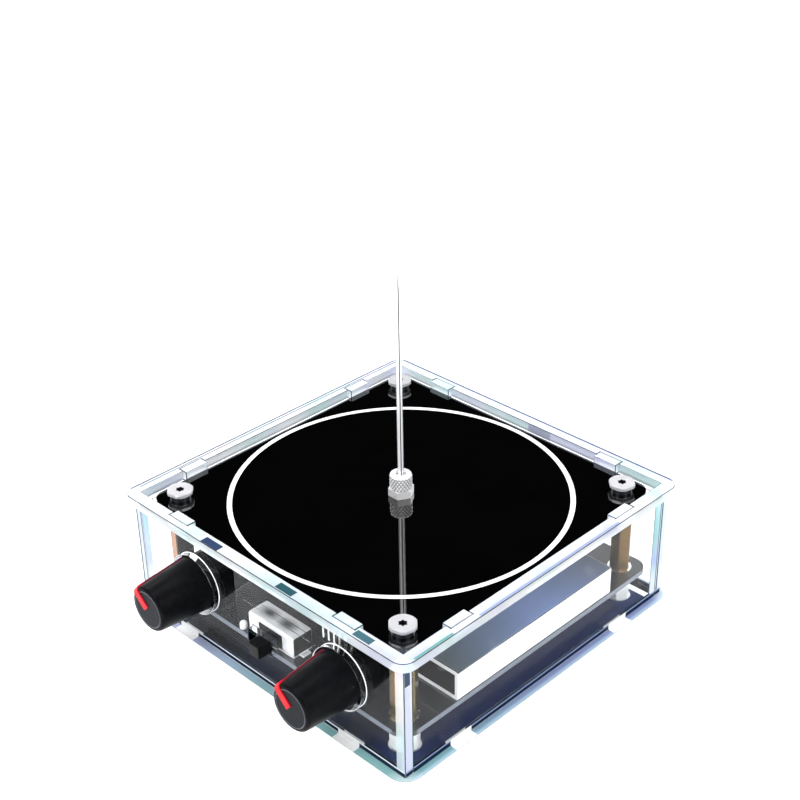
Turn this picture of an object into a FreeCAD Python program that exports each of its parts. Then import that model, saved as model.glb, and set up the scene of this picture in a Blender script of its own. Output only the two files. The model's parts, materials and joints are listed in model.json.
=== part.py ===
import FreeCAD, Part
import os
import Sketcher
from FreeCAD import Rotation, Vector

# Desktop resonant transformer in a clear laser-cut case.
# Millimetres, +Z up. The origin is the centre of the case's underside, the knobs face -Y
# and the heat sink lies along the right-hand wall, +X.

driving_sizes = {
    # clear case: square bottom plate, square top frame and four walls, held by tabs in slots
    "plate_side": 115,
    "plate_thick": 3,
    "rim_width": 4,              # of the top frame; the coil board lies open inside it
    "top_corner": 4,
    "bottom_corner": 5.5,
    "wall_thick": 3,
    "wall_height": 36.2,
    "wall_inset": 2.4,           # how far the plates stand out past the walls
    "tab_length": 8.2,
    "tab_spread": 67.8,          # between the middles of the two tabs on an edge
    "slot_gap": 0.1,
    "cutout_gap": 0.2,           # round a part that passes through a wall
    # columns at the four corners: screw, spacer, board, standoff, board, screw
    "column_inset": 6.4,         # column's axis to the boards' edges
    "thread_radius": 1.5,
    "thread_gap": 0.05,
    "screw_hole_gap": 0.1,
    "spacer_flats": 6.2,
    "spacer_height": 9,
    "standoff_flats": 5.5,
    "standoff_height": 25,
    "standoff_bore": 8,
    "stud_length": 6,
    "edge_break": 0.5,
    "end_face_inset": 0.17,      # round end face of a hexagon, inside its flats
    "end_slope": 40,             # degrees, of the cone round that face
    "screw_length": 8,
    "head_radius": 3.9,
    "head_flats": 7.3,           # between the flats round its edge
    "head_height": 0.9,
    "head_bevel": 0.2,
    "head_turn": -45,            # degrees, so that a corner faces the front corner of the case
    "screw_neck": 3,        # shoulder under the head, which stands on the board
    "neck_height": 1.8,
    "star_radius": 1.4,
    "star_waist": 1.0,
    "star_depth": 1.5,
    "sunk_head": 3,
    "sunk_length": 6,
    "sunk_gap": 0.1,
    "socket_flats": 2,
    "socket_depth": 1.1,
    # boards and the sheet under them
    "board_gap": 0.3,            # to the walls round it
    "board_thick": 1.6,
    "board_corner": 4.5,
    "sheet_thick": 0.4,
    "sheet_gap": 0.1,            # to the front and side walls
    "sheet_rear_gap": 2.5,
    "sheet_hole_gap": 0.3,
    # flat windings under the coil board
    "track_thick": 0.1,
    "secondary_inner": 9,
    "secondary_pitch": 2.6,
    "secondary_track": 1.5,
    "primary_margin": 9.8,       # from its inside to the board's edge
    "primary_pitch": 2.8,
    "primary_track": 2.2,
    "land_radius": 3.4,
    # electrode
    "collar_flats": 6.7,
    "collar_height": 2.3,
    "solder_stud": 1.4,
    "solder_stud_length": 2.4,
    "cap_radius": 3.35,
    "cap_height": 4.75,
    "cap_roof": 0.9,
    "cap_mouth": 1.7,
    "neck_radius": 2.3,
    "turning_gap": 0.06,
    "needle_radius": 0.9,
    "needle_length": 70,
    "needle_point": 5,
    "point_radius": 0.12,
    "socket_floor": 0.8,         # metal left under the needle
    # knobs and the rotary controls behind them
    "knob_margin": 21.8,         # knob's axis to the board's side edge
    "axle_height": 8,            # above the driver board
    "knob_hole": 9.3,
    "knob_sunk": 0.8,            # knob base inside the outer face of the front wall
    "knob_length": 17,
    "knob_base": 8.2,
    "knob_crown": 6.9,
    "knob_round": 1.1,
    "skirt_radius": 6.8,
    "skirt_depth": 7,
    "boss_radius": 4.5,
    "boss_setback": 2.2,
    "rim_line": 5.7,
    "line_width": 0.25,
    "line_depth": 0.2,
    "pointer_width": 2.4,
    "pointer_raise": 0.35,
    "pointer_depth": 0.6,
    "groove_overcut": 0.5,       # above the knob's skin, so that the groove is open
    "pointer_reach": 0.4,        # pointer's inner end from the knob's axis
    "pointer_rest": 47,          # degrees anticlockwise from straight up
    "shaft_radius": 3,
    "shaft_length": 17,
    "shaft_tail": 4,
    "shaft_flat": 1.5,           # flat's distance from the axis
    "flat_lead": 0.5,            # flat starts this far before the knob's bore
    "shaft_gap": 0.05,
    "bushing_radius": 3.5,
    "bushing_length": 5,
    "control_face": 2.1,         # behind the inside of the front wall
    "control_width": 12.4,
    "control_height": 13,
    "control_depth": 6,
    "front_sheet": 0.8,
    "control_round": 1,
    # slide switch between the knobs
    "switch_middle": -1.25,
    "switch_length": 19.1,
    "switch_depth": 7.4,
    "switch_height": 6.8,
    "switch_setback": 1.9,       # behind the inside of the front wall
    "shell_thick": 0.4,
    "shell_round": 0.9,
    "lug_length": 1.6,
    "lug_width": 3,
    "lever_side": 4,
    "lever_proud": 3.6,          # lever's tip past the outside of the front wall
    "lever_travel": 3.2,
    "lever_end_gap": 1.3,        # between the lever and the ends of its window
    "lever_gap": 0.5,
    "carriage_length": 6.4,
    "carriage_depth": 4.6,
    "carriage_height": 4.6,
    "base_thick": 0.85,
    "slide_gap": 0.05,           # between the sliding lever and the base under it
    "base_gap": 0.1,
    # heat sink and the transistors bolted to it
    "sink_inset": 0.1,           # from the board's edge
    "sink_length": 65.2,
    "sink_width": 20,
    "sink_height": 9.2,
    "sink_wall": 1.1,
    "sink_round": 0.5,
    "transistor_spread": 34,
    "transistor_inset": 0.8,     # tab's end to the sink's upright wall
    "transistor_width": 10,
    "tab_metal": 1.3,
    "tab_reach": 6.3,
    "moulding_length": 9.2,
    "moulding_height": 4.4,
    "tab_hole_inset": 2.8,
    "lead_pitch": 2.54,
    "lead_width": 0.8,
    "lead_thick": 0.5,
    "lead_height": 2.4,
    "lead_reach": 4,
    "bolt_head": 2.75,
    "bolt_head_height": 2,
    "nut_flats": 5.5,
    "nut_height": 2.4,
    # sockets in the rear wall
    "power_middle": -30,
    "power_width": 9,
    "power_height": 11,
    "power_depth": 14.2,
    "power_bore": 3.15,
    "power_bore_depth": 9,
    "power_pin": 1.05,
    "power_pin_length": 8,
    "audio_middle": 6,
    "audio_width": 6.6,
    "audio_height": 5,
    "audio_depth": 12.4,
    "audio_nose": 2.9,
    "audio_bore": 1.8,
    "audio_bore_depth": 14,
    # what else stands on the driver board
    "lamp_radius": 1.15,
    "lamp_barrel": 1.2,
    "lamp_gap": 0.7,             # between the lamp and the switch's end
    "lamp_inset": 1.4,           # lamp's axis to the board's front edge
    "can_line": -24,
    "can_row": 24,
    "can_radius": 5,
    "can_height": 16,
    "can_round": 0.8,
    "can_pitch": 12,
    "block_line": 4,
    "block_row": 26,
    "block_length": 13,
    "block_width": 5,
    "block_height": 11,
    "block_round": 0.6,
    "block_pitch": 8,
    "chip_line": -30,
    "chip_row": -14,
    "chip_length": 5,
    "chip_width": 4,
    "chip_height": 1.6,
    "chip_pitch": 11,
    "regulator_line": -38,
    "regulator_row": 14,
    "regulator_side": 6.6,
    "regulator_height": 2.3,
    "choke_line": 14,
    "choke_row": 4,
    "choke_radius": 6.5,         # to the middle of the core's section
    "choke_width": 4.8,
    "choke_height": 4.4,
    "choke_bevel": 0.6,
    "choke_wire": 0.7,
    "choke_gap": 0.05,
    "choke_turns": 12,
    "post_radius": 0.8,
    "comb_pins": 6,
    "comb_pitch": 2.1,
    "comb_middle": 25.9,
    "comb_side": 0.64,
    "comb_gap": 1.2,             # between the pins' tips and the control under them
    "comb_inset": 2.4,
}

doc = FreeCAD.newDocument("resonant_transformer")
sheet = doc.addObject("Spreadsheet::Sheet", "sizes")
for row, (word, size) in enumerate(driving_sizes.items(), start=1):
    sheet.set(f"A{row}", word)
    sheet.set(f"B{row}", str(size))
    sheet.setAlias(f"B{row}", word)
doc.recompute()

# levels and faces that several pieces share, as expressions on the sheet
wall_face = "(sizes.plate_side / 2 - sizes.wall_inset)"
wall_back = f"({wall_face} - sizes.wall_thick)"
board_half = f"({wall_back} - sizes.board_gap)"
column = f"({board_half} - sizes.column_inset)"
driver_under = "(sizes.plate_thick + sizes.spacer_height)"
driver_top = f"({driver_under} + sizes.board_thick)"
coil_under = f"({driver_top} + sizes.standoff_height)"
coil_top = f"({coil_under} + sizes.board_thick)"
lid_under = "(sizes.plate_thick + sizes.wall_height)"
lid_top = f"({lid_under} + sizes.plate_thick)"
screw_hole = "(sizes.thread_radius + sizes.screw_hole_gap)"
thread_bore = "(sizes.thread_radius + sizes.thread_gap)"
axle_level = f"({driver_top} + sizes.axle_height)"
knob_line = f"({board_half} - sizes.knob_margin)"

nodes = []


def number(expression):
    """Value of a sheet expression."""
    return float(sheet.evalExpression(expression))


def name_node(piece, label):
    """Keep a finished piece as a node of the assembly."""
    piece.Label = label
    nodes.append(piece)
    return piece


def place(piece, x="0", y="0", z="0"):
    for axis, expression in (("x", x), ("y", y), ("z", z)):
        piece.setExpression(f".Placement.Base.{axis}", expression)
    return piece


# ---- Part Design helpers: a body, its sketches and its features


def new_body(name):
    return doc.addObject("PartDesign::Body", name)


def new_sketch(body, role, offset="0"):
    """Sketch on one of the body's own origin planes, moved along the plane's normal."""
    plane = next(feature for feature in body.Origin.OriginFeatures if feature.Role == role)
    sketch = body.newObject("Sketcher::SketchObject", f"{body.Name}_sketch")
    sketch.AttachmentSupport = (plane, [""])
    sketch.MapMode = "FlatFace"
    sketch.setExpression(".AttachmentOffset.Base.z", offset)
    return sketch


def pin_point(sketch, curve, point, x, y):
    for kind, expression in (("DistanceX", x), ("DistanceY", y)):
        rule = Sketcher.Constraint(kind, -1, 1, curve, point, number(expression))
        index = sketch.addConstraint(rule)
        sketch.setExpression(f"Constraints[{index}]", expression)


def outline(sketch, corners):
    """Closed outline whose corners are pairs of expressions."""
    spots = [Vector(number(x), number(y), 0) for x, y in corners]
    first = sketch.GeometryCount
    for start, end in zip(spots, spots[1:] + spots[:1]):
        sketch.addGeometry(Part.LineSegment(start, end), False)
    for step, (x, y) in enumerate(corners):
        following = first + (step + 1) % len(corners)
        sketch.addConstraint(Sketcher.Constraint("Coincident", first + step, 2, following, 1))
        pin_point(sketch, first + step, 1, x, y)


def rectangle(sketch, x, y, length, width):
    """Rectangle about a middle point."""
    left, right = f"({x}) - ({length}) / 2", f"({x}) + ({length}) / 2"
    low, high = f"({y}) - ({width}) / 2", f"({y}) + ({width}) / 2"
    outline(sketch, [(left, low), (right, low), (right, high), (left, high)])


def circle(sketch, radius, x="0", y="0"):
    middle = Vector(number(x), number(y), 0)
    curve = sketch.addGeometry(Part.Circle(middle, Vector(0, 0, 1), number(radius)), False)
    pin_point(sketch, curve, 3, x, y)
    index = sketch.addConstraint(Sketcher.Constraint("Radius", curve, number(radius)))
    sketch.setExpression(f"Constraints[{index}]", radius)


def star(sketch, points, outer, inner):
    """Corners alternate between two radii; equal across-corner radii give a polygon."""
    corners = []
    for step in range(points):
        turn = 360 / points * step
        corners.append((f"({outer}) * cos({turn})", f"({outer}) * sin({turn})"))
        if inner:
            turn += 180 / points
            corners.append((f"({inner}) * cos({turn})", f"({inner}) * sin({turn})"))
    outline(sketch, corners)


def hexagon(sketch, flats):
    star(sketch, 6, f"({flats}) / 2 / cos(30)", None)


def earlier_solid(body):
    """Volume of the body before its next feature."""
    doc.recompute()
    return body.Shape.Volume if body.Tip else 0


def add_feature(body, kind, sketch, removes, settings, expressions):
    before = earlier_solid(body)
    feature = body.newObject(f"PartDesign::{kind}", f"{body.Name}_{kind}")
    feature.Profile = sketch
    for prop, value in settings.items():
        setattr(feature, prop, value)
    for prop, expression in expressions.items():
        feature.setExpression(prop, expression)
    doc.recompute()
    gained = feature.Shape.Volume - before
    if gained * (-1 if removes else 1) <= 0:
        raise RuntimeError(f"{feature.Name} changes nothing")
    sketch.Visibility = False
    return feature


def pad(body, sketch, length, middle=False):
    return add_feature(body, "Pad", sketch, False, {"Midplane": middle}, {"Length": length})


def cut_through(body, sketch):
    """Pocket through the whole body, both ways from the sketch."""
    return add_feature(body, "Pocket", sketch, True, {"Type": 1, "Midplane": True}, {})


def pocket(body, sketch, depth, backwards=False):
    return add_feature(body, "Pocket", sketch, True, {"Reversed": backwards}, {"Length": depth})


def spin(body, profile, removes=False):
    """Turn an outline of (radius, height) pairs about the body's Z axis."""
    sketch = new_sketch(body, "XZ_Plane")
    outline(sketch, profile)
    kind = "Groove" if removes else "Revolution"
    settings = {"ReferenceAxis": (sketch, ["V_Axis"]), "Angle": 360}
    return add_feature(body, kind, sketch, removes, settings, {})


def edge_names(shape, wanted):
    return [f"Edge{step}" for step, edge in enumerate(shape.Edges, start=1) if wanted(edge)]


def dress(body, kind, size_property, size, wanted):
    """Fillet or chamfer the edges of the body's last feature that a test picks out."""
    doc.recompute()
    base = body.Tip
    names = edge_names(base.Shape, wanted)
    if not names:
        raise RuntimeError(f"{body.Name}: no edges to dress")
    feature = body.newObject(f"PartDesign::{kind}", f"{body.Name}_{kind}")
    feature.Base = (base, names)
    feature.setExpression(size_property, size)
    doc.recompute()
    return feature


def fillet(body, radius, wanted):
    return dress(body, "Fillet", "Radius", radius, wanted)


def chamfer(body, size, wanted):
    return dress(body, "Chamfer", "Size", size, wanted)


def is_upright(edge):
    """Straight edge along Z."""
    box = edge.BoundBox
    return box.XLength < 1e-6 and box.YLength < 1e-6


def runs_level(edge, level):
    """Edge that lies at one height."""
    box = edge.BoundBox
    return box.ZLength < 1e-6 and abs(box.ZMin - level) < 1e-6


def is_outer_corner(edge, reach):
    """Upright edge at a corner of a square centred on the Z axis."""
    spot = edge.CenterOfMass
    return is_upright(edge) and abs(abs(spot.x) - reach) < 1e-6 and abs(abs(spot.y) - reach) < 1e-6


def is_circle(edge, radius, level):
    return (runs_level(edge, level) and hasattr(edge.Curve, "Radius")
            and abs(edge.Curve.Radius - radius) < 1e-6)


# ---- Part helpers: bound primitives, booleans and groups


def bound(kind, name, sizes, x="0", y="0", z="0"):
    """Part primitive with its sizes and place bound to the sheet."""
    piece = doc.addObject(f"Part::{kind}", name)
    for prop, expression in sizes.items():
        piece.setExpression(prop, expression)
    return place(piece, x, y, z)


def box(name, length, width, height, x, y, z):
    """Box about a middle in X and Y, standing on z."""
    sizes = {"Length": length, "Width": width, "Height": height}
    return bound("Box", name, sizes, f"({x}) - ({length}) / 2", f"({y}) - ({width}) / 2", z)


def cylinder(name, radius, height, x, y, z):
    return bound("Cylinder", name, {"Radius": radius, "Height": height}, x, y, z)


def join(name, pieces):
    whole = doc.addObject("Part::MultiFuse", name)
    whole.Shapes = pieces
    return whole


def cut(name, base, tool):
    whole = doc.addObject("Part::Cut", name)
    whole.Base = base
    whole.Tool = tool
    return whole


def round_edges(name, base, radius, wanted):
    """Fillet of the edges of a Part object that a test picks out."""
    doc.recompute()
    whole = doc.addObject("Part::Fillet", name)
    whole.Base = base
    picked = edge_names(base.Shape, wanted)
    whole.Edges = [(int(edge[4:]), number(radius), number(radius)) for edge in picked]
    return whole


def group(label, pieces):
    """Separate solids that share one node."""
    whole = doc.addObject("Part::Compound", label)
    whole.Links = pieces
    return name_node(whole, label)


def copies(label, source, places, turn=0):
    """The same piece set out at several places, as one node."""
    links = []
    for step, (x, y) in enumerate(places, start=1):
        link = doc.addObject("App::Link", f"{label}_{step}")
        link.LinkedObject = source
        link.Placement.Rotation = Rotation(Vector(0, 0, 1), turn)
        links.append(place(link, x, y))
    return group(label, links)


corners = [(f"{sx} * {column}", f"{sy} * {column}") for sx in (1, -1) for sy in (1, -1)]


# ---- case


def case_plate(label, level, corner):
    """Square plate with two slots along each edge for the walls' tabs, before its openings."""
    body = new_body(label)
    sketch = new_sketch(body, "XY_Plane", level)
    rectangle(sketch, "0", "0", "sizes.plate_side", "sizes.plate_side")
    pad(body, sketch, "sizes.plate_thick")
    half = number("sizes.plate_side / 2")
    fillet(body, corner, lambda edge: is_outer_corner(edge, half))
    slots = new_sketch(body, "XY_Plane", level)
    middle = f"({wall_face} - sizes.wall_thick / 2)"
    length = "sizes.tab_length + 2 * sizes.slot_gap"
    width = "sizes.wall_thick + 2 * sizes.slot_gap"
    for side in (1, -1):
        for end in (1, -1):
            along, across = f"{end} * sizes.tab_spread / 2", f"{side} * {middle}"
            rectangle(slots, along, across, length, width)
            rectangle(slots, across, along, width, length)
    cut_through(body, slots)
    return body


def plate_holes(body, level, radius):
    sketch = new_sketch(body, "XY_Plane", level)
    for x, y in corners:
        circle(sketch, radius, x, y)
    return sketch


bottom_plate = case_plate("bottom_plate", "0", "sizes.bottom_corner")
cut_through(bottom_plate, plate_holes(bottom_plate, "0", screw_hole))
sunk_edge = "sizes.sunk_head - sizes.thread_radius"
chamfer(bottom_plate, sunk_edge, lambda edge: is_circle(edge, number(screw_hole), 0))
name_node(bottom_plate, "bottom_plate")

top_plate = case_plate("top_plate", lid_under, "sizes.top_corner")
rim_opening = new_sketch(top_plate, "XY_Plane", lid_under)
opening_side = "sizes.plate_side - 2 * sizes.rim_width"
rectangle(rim_opening, "0", "0", opening_side, opening_side)
cut_through(top_plate, rim_opening)
name_node(top_plate, "top_plate")


def wall_outline(sketch, reach):
    """Wall seen square on: a panel with two tabs along its foot and two along its top."""
    points = [(f"-{reach}", "sizes.plate_thick")]
    feet = (("-1", "sizes.plate_thick", "0"), ("1", "sizes.plate_thick", "0"))
    tops = (("1", lid_under, lid_top), ("-1", lid_under, lid_top))
    for edge, first_end in ((feet, -1), (tops, 1)):
        for side, root, tip in edge:
            near = f"{side} * sizes.tab_spread / 2 + {first_end} * sizes.tab_length / 2"
            far = f"{side} * sizes.tab_spread / 2 - {first_end} * sizes.tab_length / 2"
            points += [(near, root), (near, tip), (far, tip), (far, root)]
        if edge is feet:
            points += [(reach, "sizes.plate_thick"), (reach, lid_under)]
    points.append((f"-{reach}", lid_under))
    outline(sketch, points)


def wall(label, role, offset, reach):
    body = new_body(label)
    sketch = new_sketch(body, role, offset)
    wall_outline(sketch, reach)
    pad(body, sketch, "sizes.wall_thick")
    return name_node(body, label)


lever_foot = f"({driver_top} + sizes.base_thick + sizes.slide_gap)"
lever_level = f"({lever_foot} + sizes.lever_side / 2)"
front_wall = wall("front_wall", "XZ_Plane", wall_back, wall_face)
front_openings = new_sketch(front_wall, "XZ_Plane", wall_back)
for side in (1, -1):
    circle(front_openings, "sizes.knob_hole", f"{side} * {knob_line}", axle_level)
window_length = "sizes.lever_side + sizes.lever_travel + 2 * sizes.lever_end_gap"
window_height = "sizes.lever_side + 2 * sizes.lever_gap"
rectangle(front_openings, "sizes.switch_middle", lever_level, window_length, window_height)
cut_through(front_wall, front_openings)

rear_wall = wall("rear_wall", "XZ_Plane", f"-{wall_face}", wall_face)
power_level = f"({driver_top} + sizes.power_height / 2)"
audio_level = f"({driver_top} + sizes.audio_height / 2)"
rear_openings = new_sketch(rear_wall, "XZ_Plane", f"-{wall_face}")
power_opening = ("sizes.power_width + 2 * sizes.cutout_gap", "sizes.power_height + 2 * sizes.cutout_gap")
rectangle(rear_openings, "sizes.power_middle", power_level, *power_opening)
circle(rear_openings, "sizes.audio_nose + sizes.cutout_gap", "sizes.audio_middle", audio_level)
cut_through(rear_wall, rear_openings)

wall("right_wall", "YZ_Plane", wall_back, wall_back)
wall("left_wall", "YZ_Plane", f"-{wall_face}", wall_back)

# ---- columns


def hex_rod(body, level, height, flats):
    """Hexagonal rod with both ends chamfered to a round face."""
    sketch = new_sketch(body, "XY_Plane", level)
    hexagon(sketch, flats)
    pad(body, sketch, height)
    outer = f"({flats}) / 2 / cos(30) + sizes.edge_break"
    inner = f"({flats}) / 2 - sizes.end_face_inset"
    top = f"{level} + {height}"
    drop = f"(({outer}) - ({inner})) * tan(sizes.end_slope)"
    spin(body, [(inner, top), (outer, top), (outer, f"{top} - {drop}")], removes=True)
    spin(body, [(inner, level), (outer, level), (outer, f"{level} + {drop}")], removes=True)


def bore(body, level, radius, depth, backwards=False):
    """Round hole from a level down, or up if backwards."""
    sketch = new_sketch(body, "XY_Plane", level)
    circle(sketch, radius)
    return pocket(body, sketch, depth, backwards)


spacer = new_body("one_spacer")
hex_rod(spacer, "sizes.plate_thick", "sizes.spacer_height", "sizes.spacer_flats")
bore(spacer, driver_under, thread_bore, "sizes.spacer_height")
copies("lower_spacers", spacer, corners)

standoff = new_body("one_standoff")
hex_rod(standoff, driver_top, "sizes.standoff_height", "sizes.standoff_flats")
stud = new_sketch(standoff, "XY_Plane", f"{driver_top} - sizes.stud_length")
circle(stud, "sizes.thread_radius")
pad(standoff, stud, "sizes.stud_length")
bore(standoff, coil_under, thread_bore, "sizes.standoff_bore")
copies("upper_standoffs", standoff, corners)

top_screw = new_body("one_top_screw")
head_under = f"({coil_top} + sizes.neck_height)"
head_top = f"({head_under} + sizes.head_height)"
head = new_sketch(top_screw, "XY_Plane", head_under)
hexagon(head, "sizes.head_flats")
pad(top_screw, head, "sizes.head_height")
head_corner = "sizes.head_flats / 2 / cos(30) + sizes.edge_break"
spin(top_screw, [("sizes.head_radius", head_under), (head_corner, head_under),
                 (head_corner, head_top), ("sizes.head_radius - sizes.head_bevel", head_top),
                 ("sizes.head_radius", f"{head_top} - sizes.head_bevel")], removes=True)
screw_tip = f"({coil_top} - sizes.screw_length)"
spin(top_screw, [("0", screw_tip), ("sizes.thread_radius", screw_tip),
                 ("sizes.thread_radius", coil_top), ("sizes.screw_neck", coil_top),
                 ("sizes.screw_neck", head_under), ("0", head_under)])
recess = new_sketch(top_screw, "XY_Plane", head_top)
star(recess, 6, "sizes.star_radius", "sizes.star_waist")
pocket(top_screw, recess, "sizes.star_depth")
copies("top_screws", top_screw, corners, number("sizes.head_turn"))

bottom_screw = new_body("one_bottom_screw")
spin(bottom_screw, [("0", "sizes.sunk_gap"),
                    ("sizes.sunk_head", "sizes.sunk_gap"),
                    ("sizes.thread_radius", "sizes.sunk_gap + sizes.sunk_head - sizes.thread_radius"),
                    ("sizes.thread_radius", "sizes.sunk_length"),
                    ("0", "sizes.sunk_length")])
key = new_sketch(bottom_screw, "XY_Plane", "sizes.sunk_gap")
hexagon(key, "sizes.socket_flats")
pocket(bottom_screw, key, "sizes.socket_depth", backwards=True)
copies("bottom_screws", bottom_screw, corners)

# ---- boards and the sheet under them


def board(label, level):
    body = new_body(label)
    sketch = new_sketch(body, "XY_Plane", level)
    rectangle(sketch, "0", "0", f"2 * {board_half}", f"2 * {board_half}")
    pad(body, sketch, "sizes.board_thick")
    half = number(board_half)
    fillet(body, "sizes.board_corner", lambda edge: is_outer_corner(edge, half))
    return name_node(body, label)


sink_face = f"({board_half} - sizes.sink_inset)"
transistor_rows = [f"{side} * sizes.transistor_spread / 2" for side in (1, -1)]
tab_end = f"({sink_face} - sizes.sink_wall - sizes.transistor_inset)"
bolt_line = f"({tab_end} - sizes.tab_hole_inset)"

driver_board = board("driver_board", driver_under)
driver_holes = plate_holes(driver_board, driver_under, screw_hole)
for y in transistor_rows:
    circle(driver_holes, screw_hole, bolt_line, y)
cut_through(driver_board, driver_holes)

coil_board = board("coil_board", coil_under)
coil_holes = plate_holes(coil_board, coil_under, screw_hole)
circle(coil_holes, "sizes.solder_stud + sizes.thread_gap")
cut_through(coil_board, coil_holes)

base_sheet = new_body("base_sheet")
sheet_side = f"({wall_back} - sizes.sheet_gap)"
sheet_rear = f"({wall_back} - sizes.sheet_rear_gap)"
foil = new_sketch(base_sheet, "XY_Plane", "sizes.plate_thick")
outline(foil, [(f"-{sheet_side}", f"-{sheet_side}"), (sheet_side, f"-{sheet_side}"),
               (sheet_side, sheet_rear), (f"-{sheet_side}", sheet_rear)])
pad(base_sheet, foil, "sizes.sheet_thick")
spacer_clearance = "sizes.spacer_flats / 2 / cos(30) + sizes.sheet_hole_gap"
cut_through(base_sheet, plate_holes(base_sheet, "sizes.plate_thick", spacer_clearance))
name_node(base_sheet, "base_sheet")

# ---- windings: flat spirals of half circles whose centres step by half the pitch


def spiral_edges(inner, pitch, turns, level):
    """Half circles from (inner, 0) outwards, ending on the same side."""
    edges = []
    start = Vector(inner, 0, level)
    radius = inner + pitch / 4
    way = 1
    for step in range(2 * turns):
        middle = Vector(start.x - way * radius, 0, level)
        end = Vector(middle.x - way * radius, 0, level)
        crest = Vector(middle.x, way * radius, level)
        edges.append(Part.Arc(start, crest, end).toShape())
        start = end
        radius += pitch / 2
        way = -way
    return edges


def spiral_track(inner, pitch, width, turns, level, thick):
    """Band between two such spirals."""
    near = spiral_edges(inner, pitch, turns, level)
    far = spiral_edges(inner + width, pitch, turns, level)
    first = Part.LineSegment(near[0].Vertexes[0].Point, far[0].Vertexes[0].Point).toShape()
    last = Part.LineSegment(near[-1].Vertexes[-1].Point, far[-1].Vertexes[-1].Point).toShape()
    loop = Part.Wire(near + [last] + far[::-1] + [first])
    return Part.Face(loop).extrude(Vector(0, 0, thick))


def winding(label, shape, turn):
    piece = doc.addObject("Part::Feature", label)
    piece.Shape = shape
    piece.Placement.Rotation = Rotation(Vector(0, 0, 1), turn)
    return name_node(piece, label)


track_thick = number("sizes.track_thick")
track_level = number(coil_under) - track_thick
secondary_track = number("sizes.secondary_track")
secondary_pitch = number("sizes.secondary_pitch")
secondary_inner = number("sizes.secondary_inner")
primary_inner = number(f"{board_half} - sizes.primary_margin")
primary_pitch = number("sizes.primary_pitch")
primary_track = number("sizes.primary_track")
secondary_room = primary_inner - secondary_inner - secondary_track - secondary_pitch
secondary_turns = int(secondary_room / secondary_pitch)
primary_turns = int((number(board_half) - primary_inner) / primary_pitch) - 1
print("turns", secondary_turns, primary_turns)

secondary = spiral_track(secondary_inner, secondary_pitch, secondary_track,
                         secondary_turns, track_level, track_thick)
land = Part.makeCylinder(number("sizes.land_radius"), track_thick, Vector(0, 0, track_level))
bridge = Part.makeBox(secondary_inner + secondary_track, secondary_track, track_thick,
                      Vector(0, 0, track_level))
land_hole = Part.makeCylinder(number("sizes.solder_stud + sizes.thread_gap"), track_thick,
                              Vector(0, 0, track_level))
secondary = secondary.fuse([land, bridge]).cut(land_hole).removeSplitter()
winding("secondary_winding", secondary.Solids[0], 0)
primary = spiral_track(primary_inner, primary_pitch, primary_track, primary_turns,
                       track_level, track_thick)
winding("primary_winding", primary, 180)

# ---- electrode: hexagonal collar soldered to the coil board, collet cap and needle

collar_top = f"({coil_top} + sizes.collar_height)"
cap_base = f"({collar_top} + sizes.turning_gap)"
cap_top = f"({cap_base} + sizes.cap_height)"
cap_ceiling = f"({cap_top} - sizes.cap_roof)"
needle_bore = "(sizes.needle_radius + sizes.turning_gap)"
needle_foot = f"({coil_top} + sizes.socket_floor)"

electrode_base = new_body("electrode_base")
collar = new_sketch(electrode_base, "XY_Plane", coil_top)
hexagon(collar, "sizes.collar_flats")
pad(electrode_base, collar, "sizes.collar_height")
neck_top = f"({cap_ceiling} - sizes.turning_gap)"
stud_foot = f"({coil_top} - sizes.solder_stud_length)"
spin(electrode_base, [("0", stud_foot), ("sizes.solder_stud", stud_foot),
                      ("sizes.solder_stud", coil_top), ("sizes.neck_radius", coil_top),
                      ("sizes.neck_radius", neck_top), ("0", neck_top)])
bore(electrode_base, neck_top, needle_bore, f"{neck_top} - {needle_foot}")
name_node(electrode_base, "electrode_base")

collet_cap = new_body("collet_cap")
cap_inside = "(sizes.neck_radius + sizes.turning_gap)"
cap_edge = "sizes.edge_break / 2"
spin(collet_cap, [(cap_inside, cap_base), (f"sizes.cap_radius - {cap_edge}", cap_base),
                  ("sizes.cap_radius", f"{cap_base} + {cap_edge}"),
                  ("sizes.cap_radius", f"{cap_top} - {cap_edge}"),
                  (f"sizes.cap_radius - {cap_edge}", cap_top), ("sizes.cap_mouth", cap_top),
                  ("sizes.cap_mouth", cap_ceiling), (cap_inside, cap_ceiling)])
name_node(collet_cap, "collet_cap")

needle = new_body("discharge_needle")
needle_tip = f"({needle_foot} + sizes.needle_length)"
spin(needle, [("0", needle_foot), ("sizes.needle_radius", needle_foot),
              ("sizes.needle_radius", f"{needle_tip} - sizes.needle_point"),
              ("sizes.point_radius", needle_tip), ("0", needle_tip)])
name_node(needle, "discharge_needle")

# ---- knobs: modelled along +Z from the knob's base, then turned to face -Y

knob_face = f"({wall_face} - sizes.knob_sunk)"
control_front = f"({wall_back} - sizes.control_face)"
knob_start = f"({knob_face} - {control_front})"
knob_end = f"({knob_start} + sizes.knob_length)"
boss_foot = f"({knob_start} + sizes.boss_setback)"
shaft_tip = "sizes.shaft_length"
shaft_bore = "(sizes.shaft_radius + sizes.shaft_gap)"


def toward_front(piece, side, turn):
    """Local +Z becomes -Y; turn is about the axle, anticlockwise as seen from the front."""
    piece.Placement.Rotation = Rotation(Vector(1, 0, 0), 90) * Rotation(Vector(0, 0, 1), turn)
    return place(piece, f"{side} * {knob_line}", f"-{control_front}", axle_level)


def knob_radius(height):
    """Radius of the tapered side at a height above the knob's base."""
    return f"(sizes.knob_base - (sizes.knob_base - sizes.knob_crown) * ({height}) / sizes.knob_length)"


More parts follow.
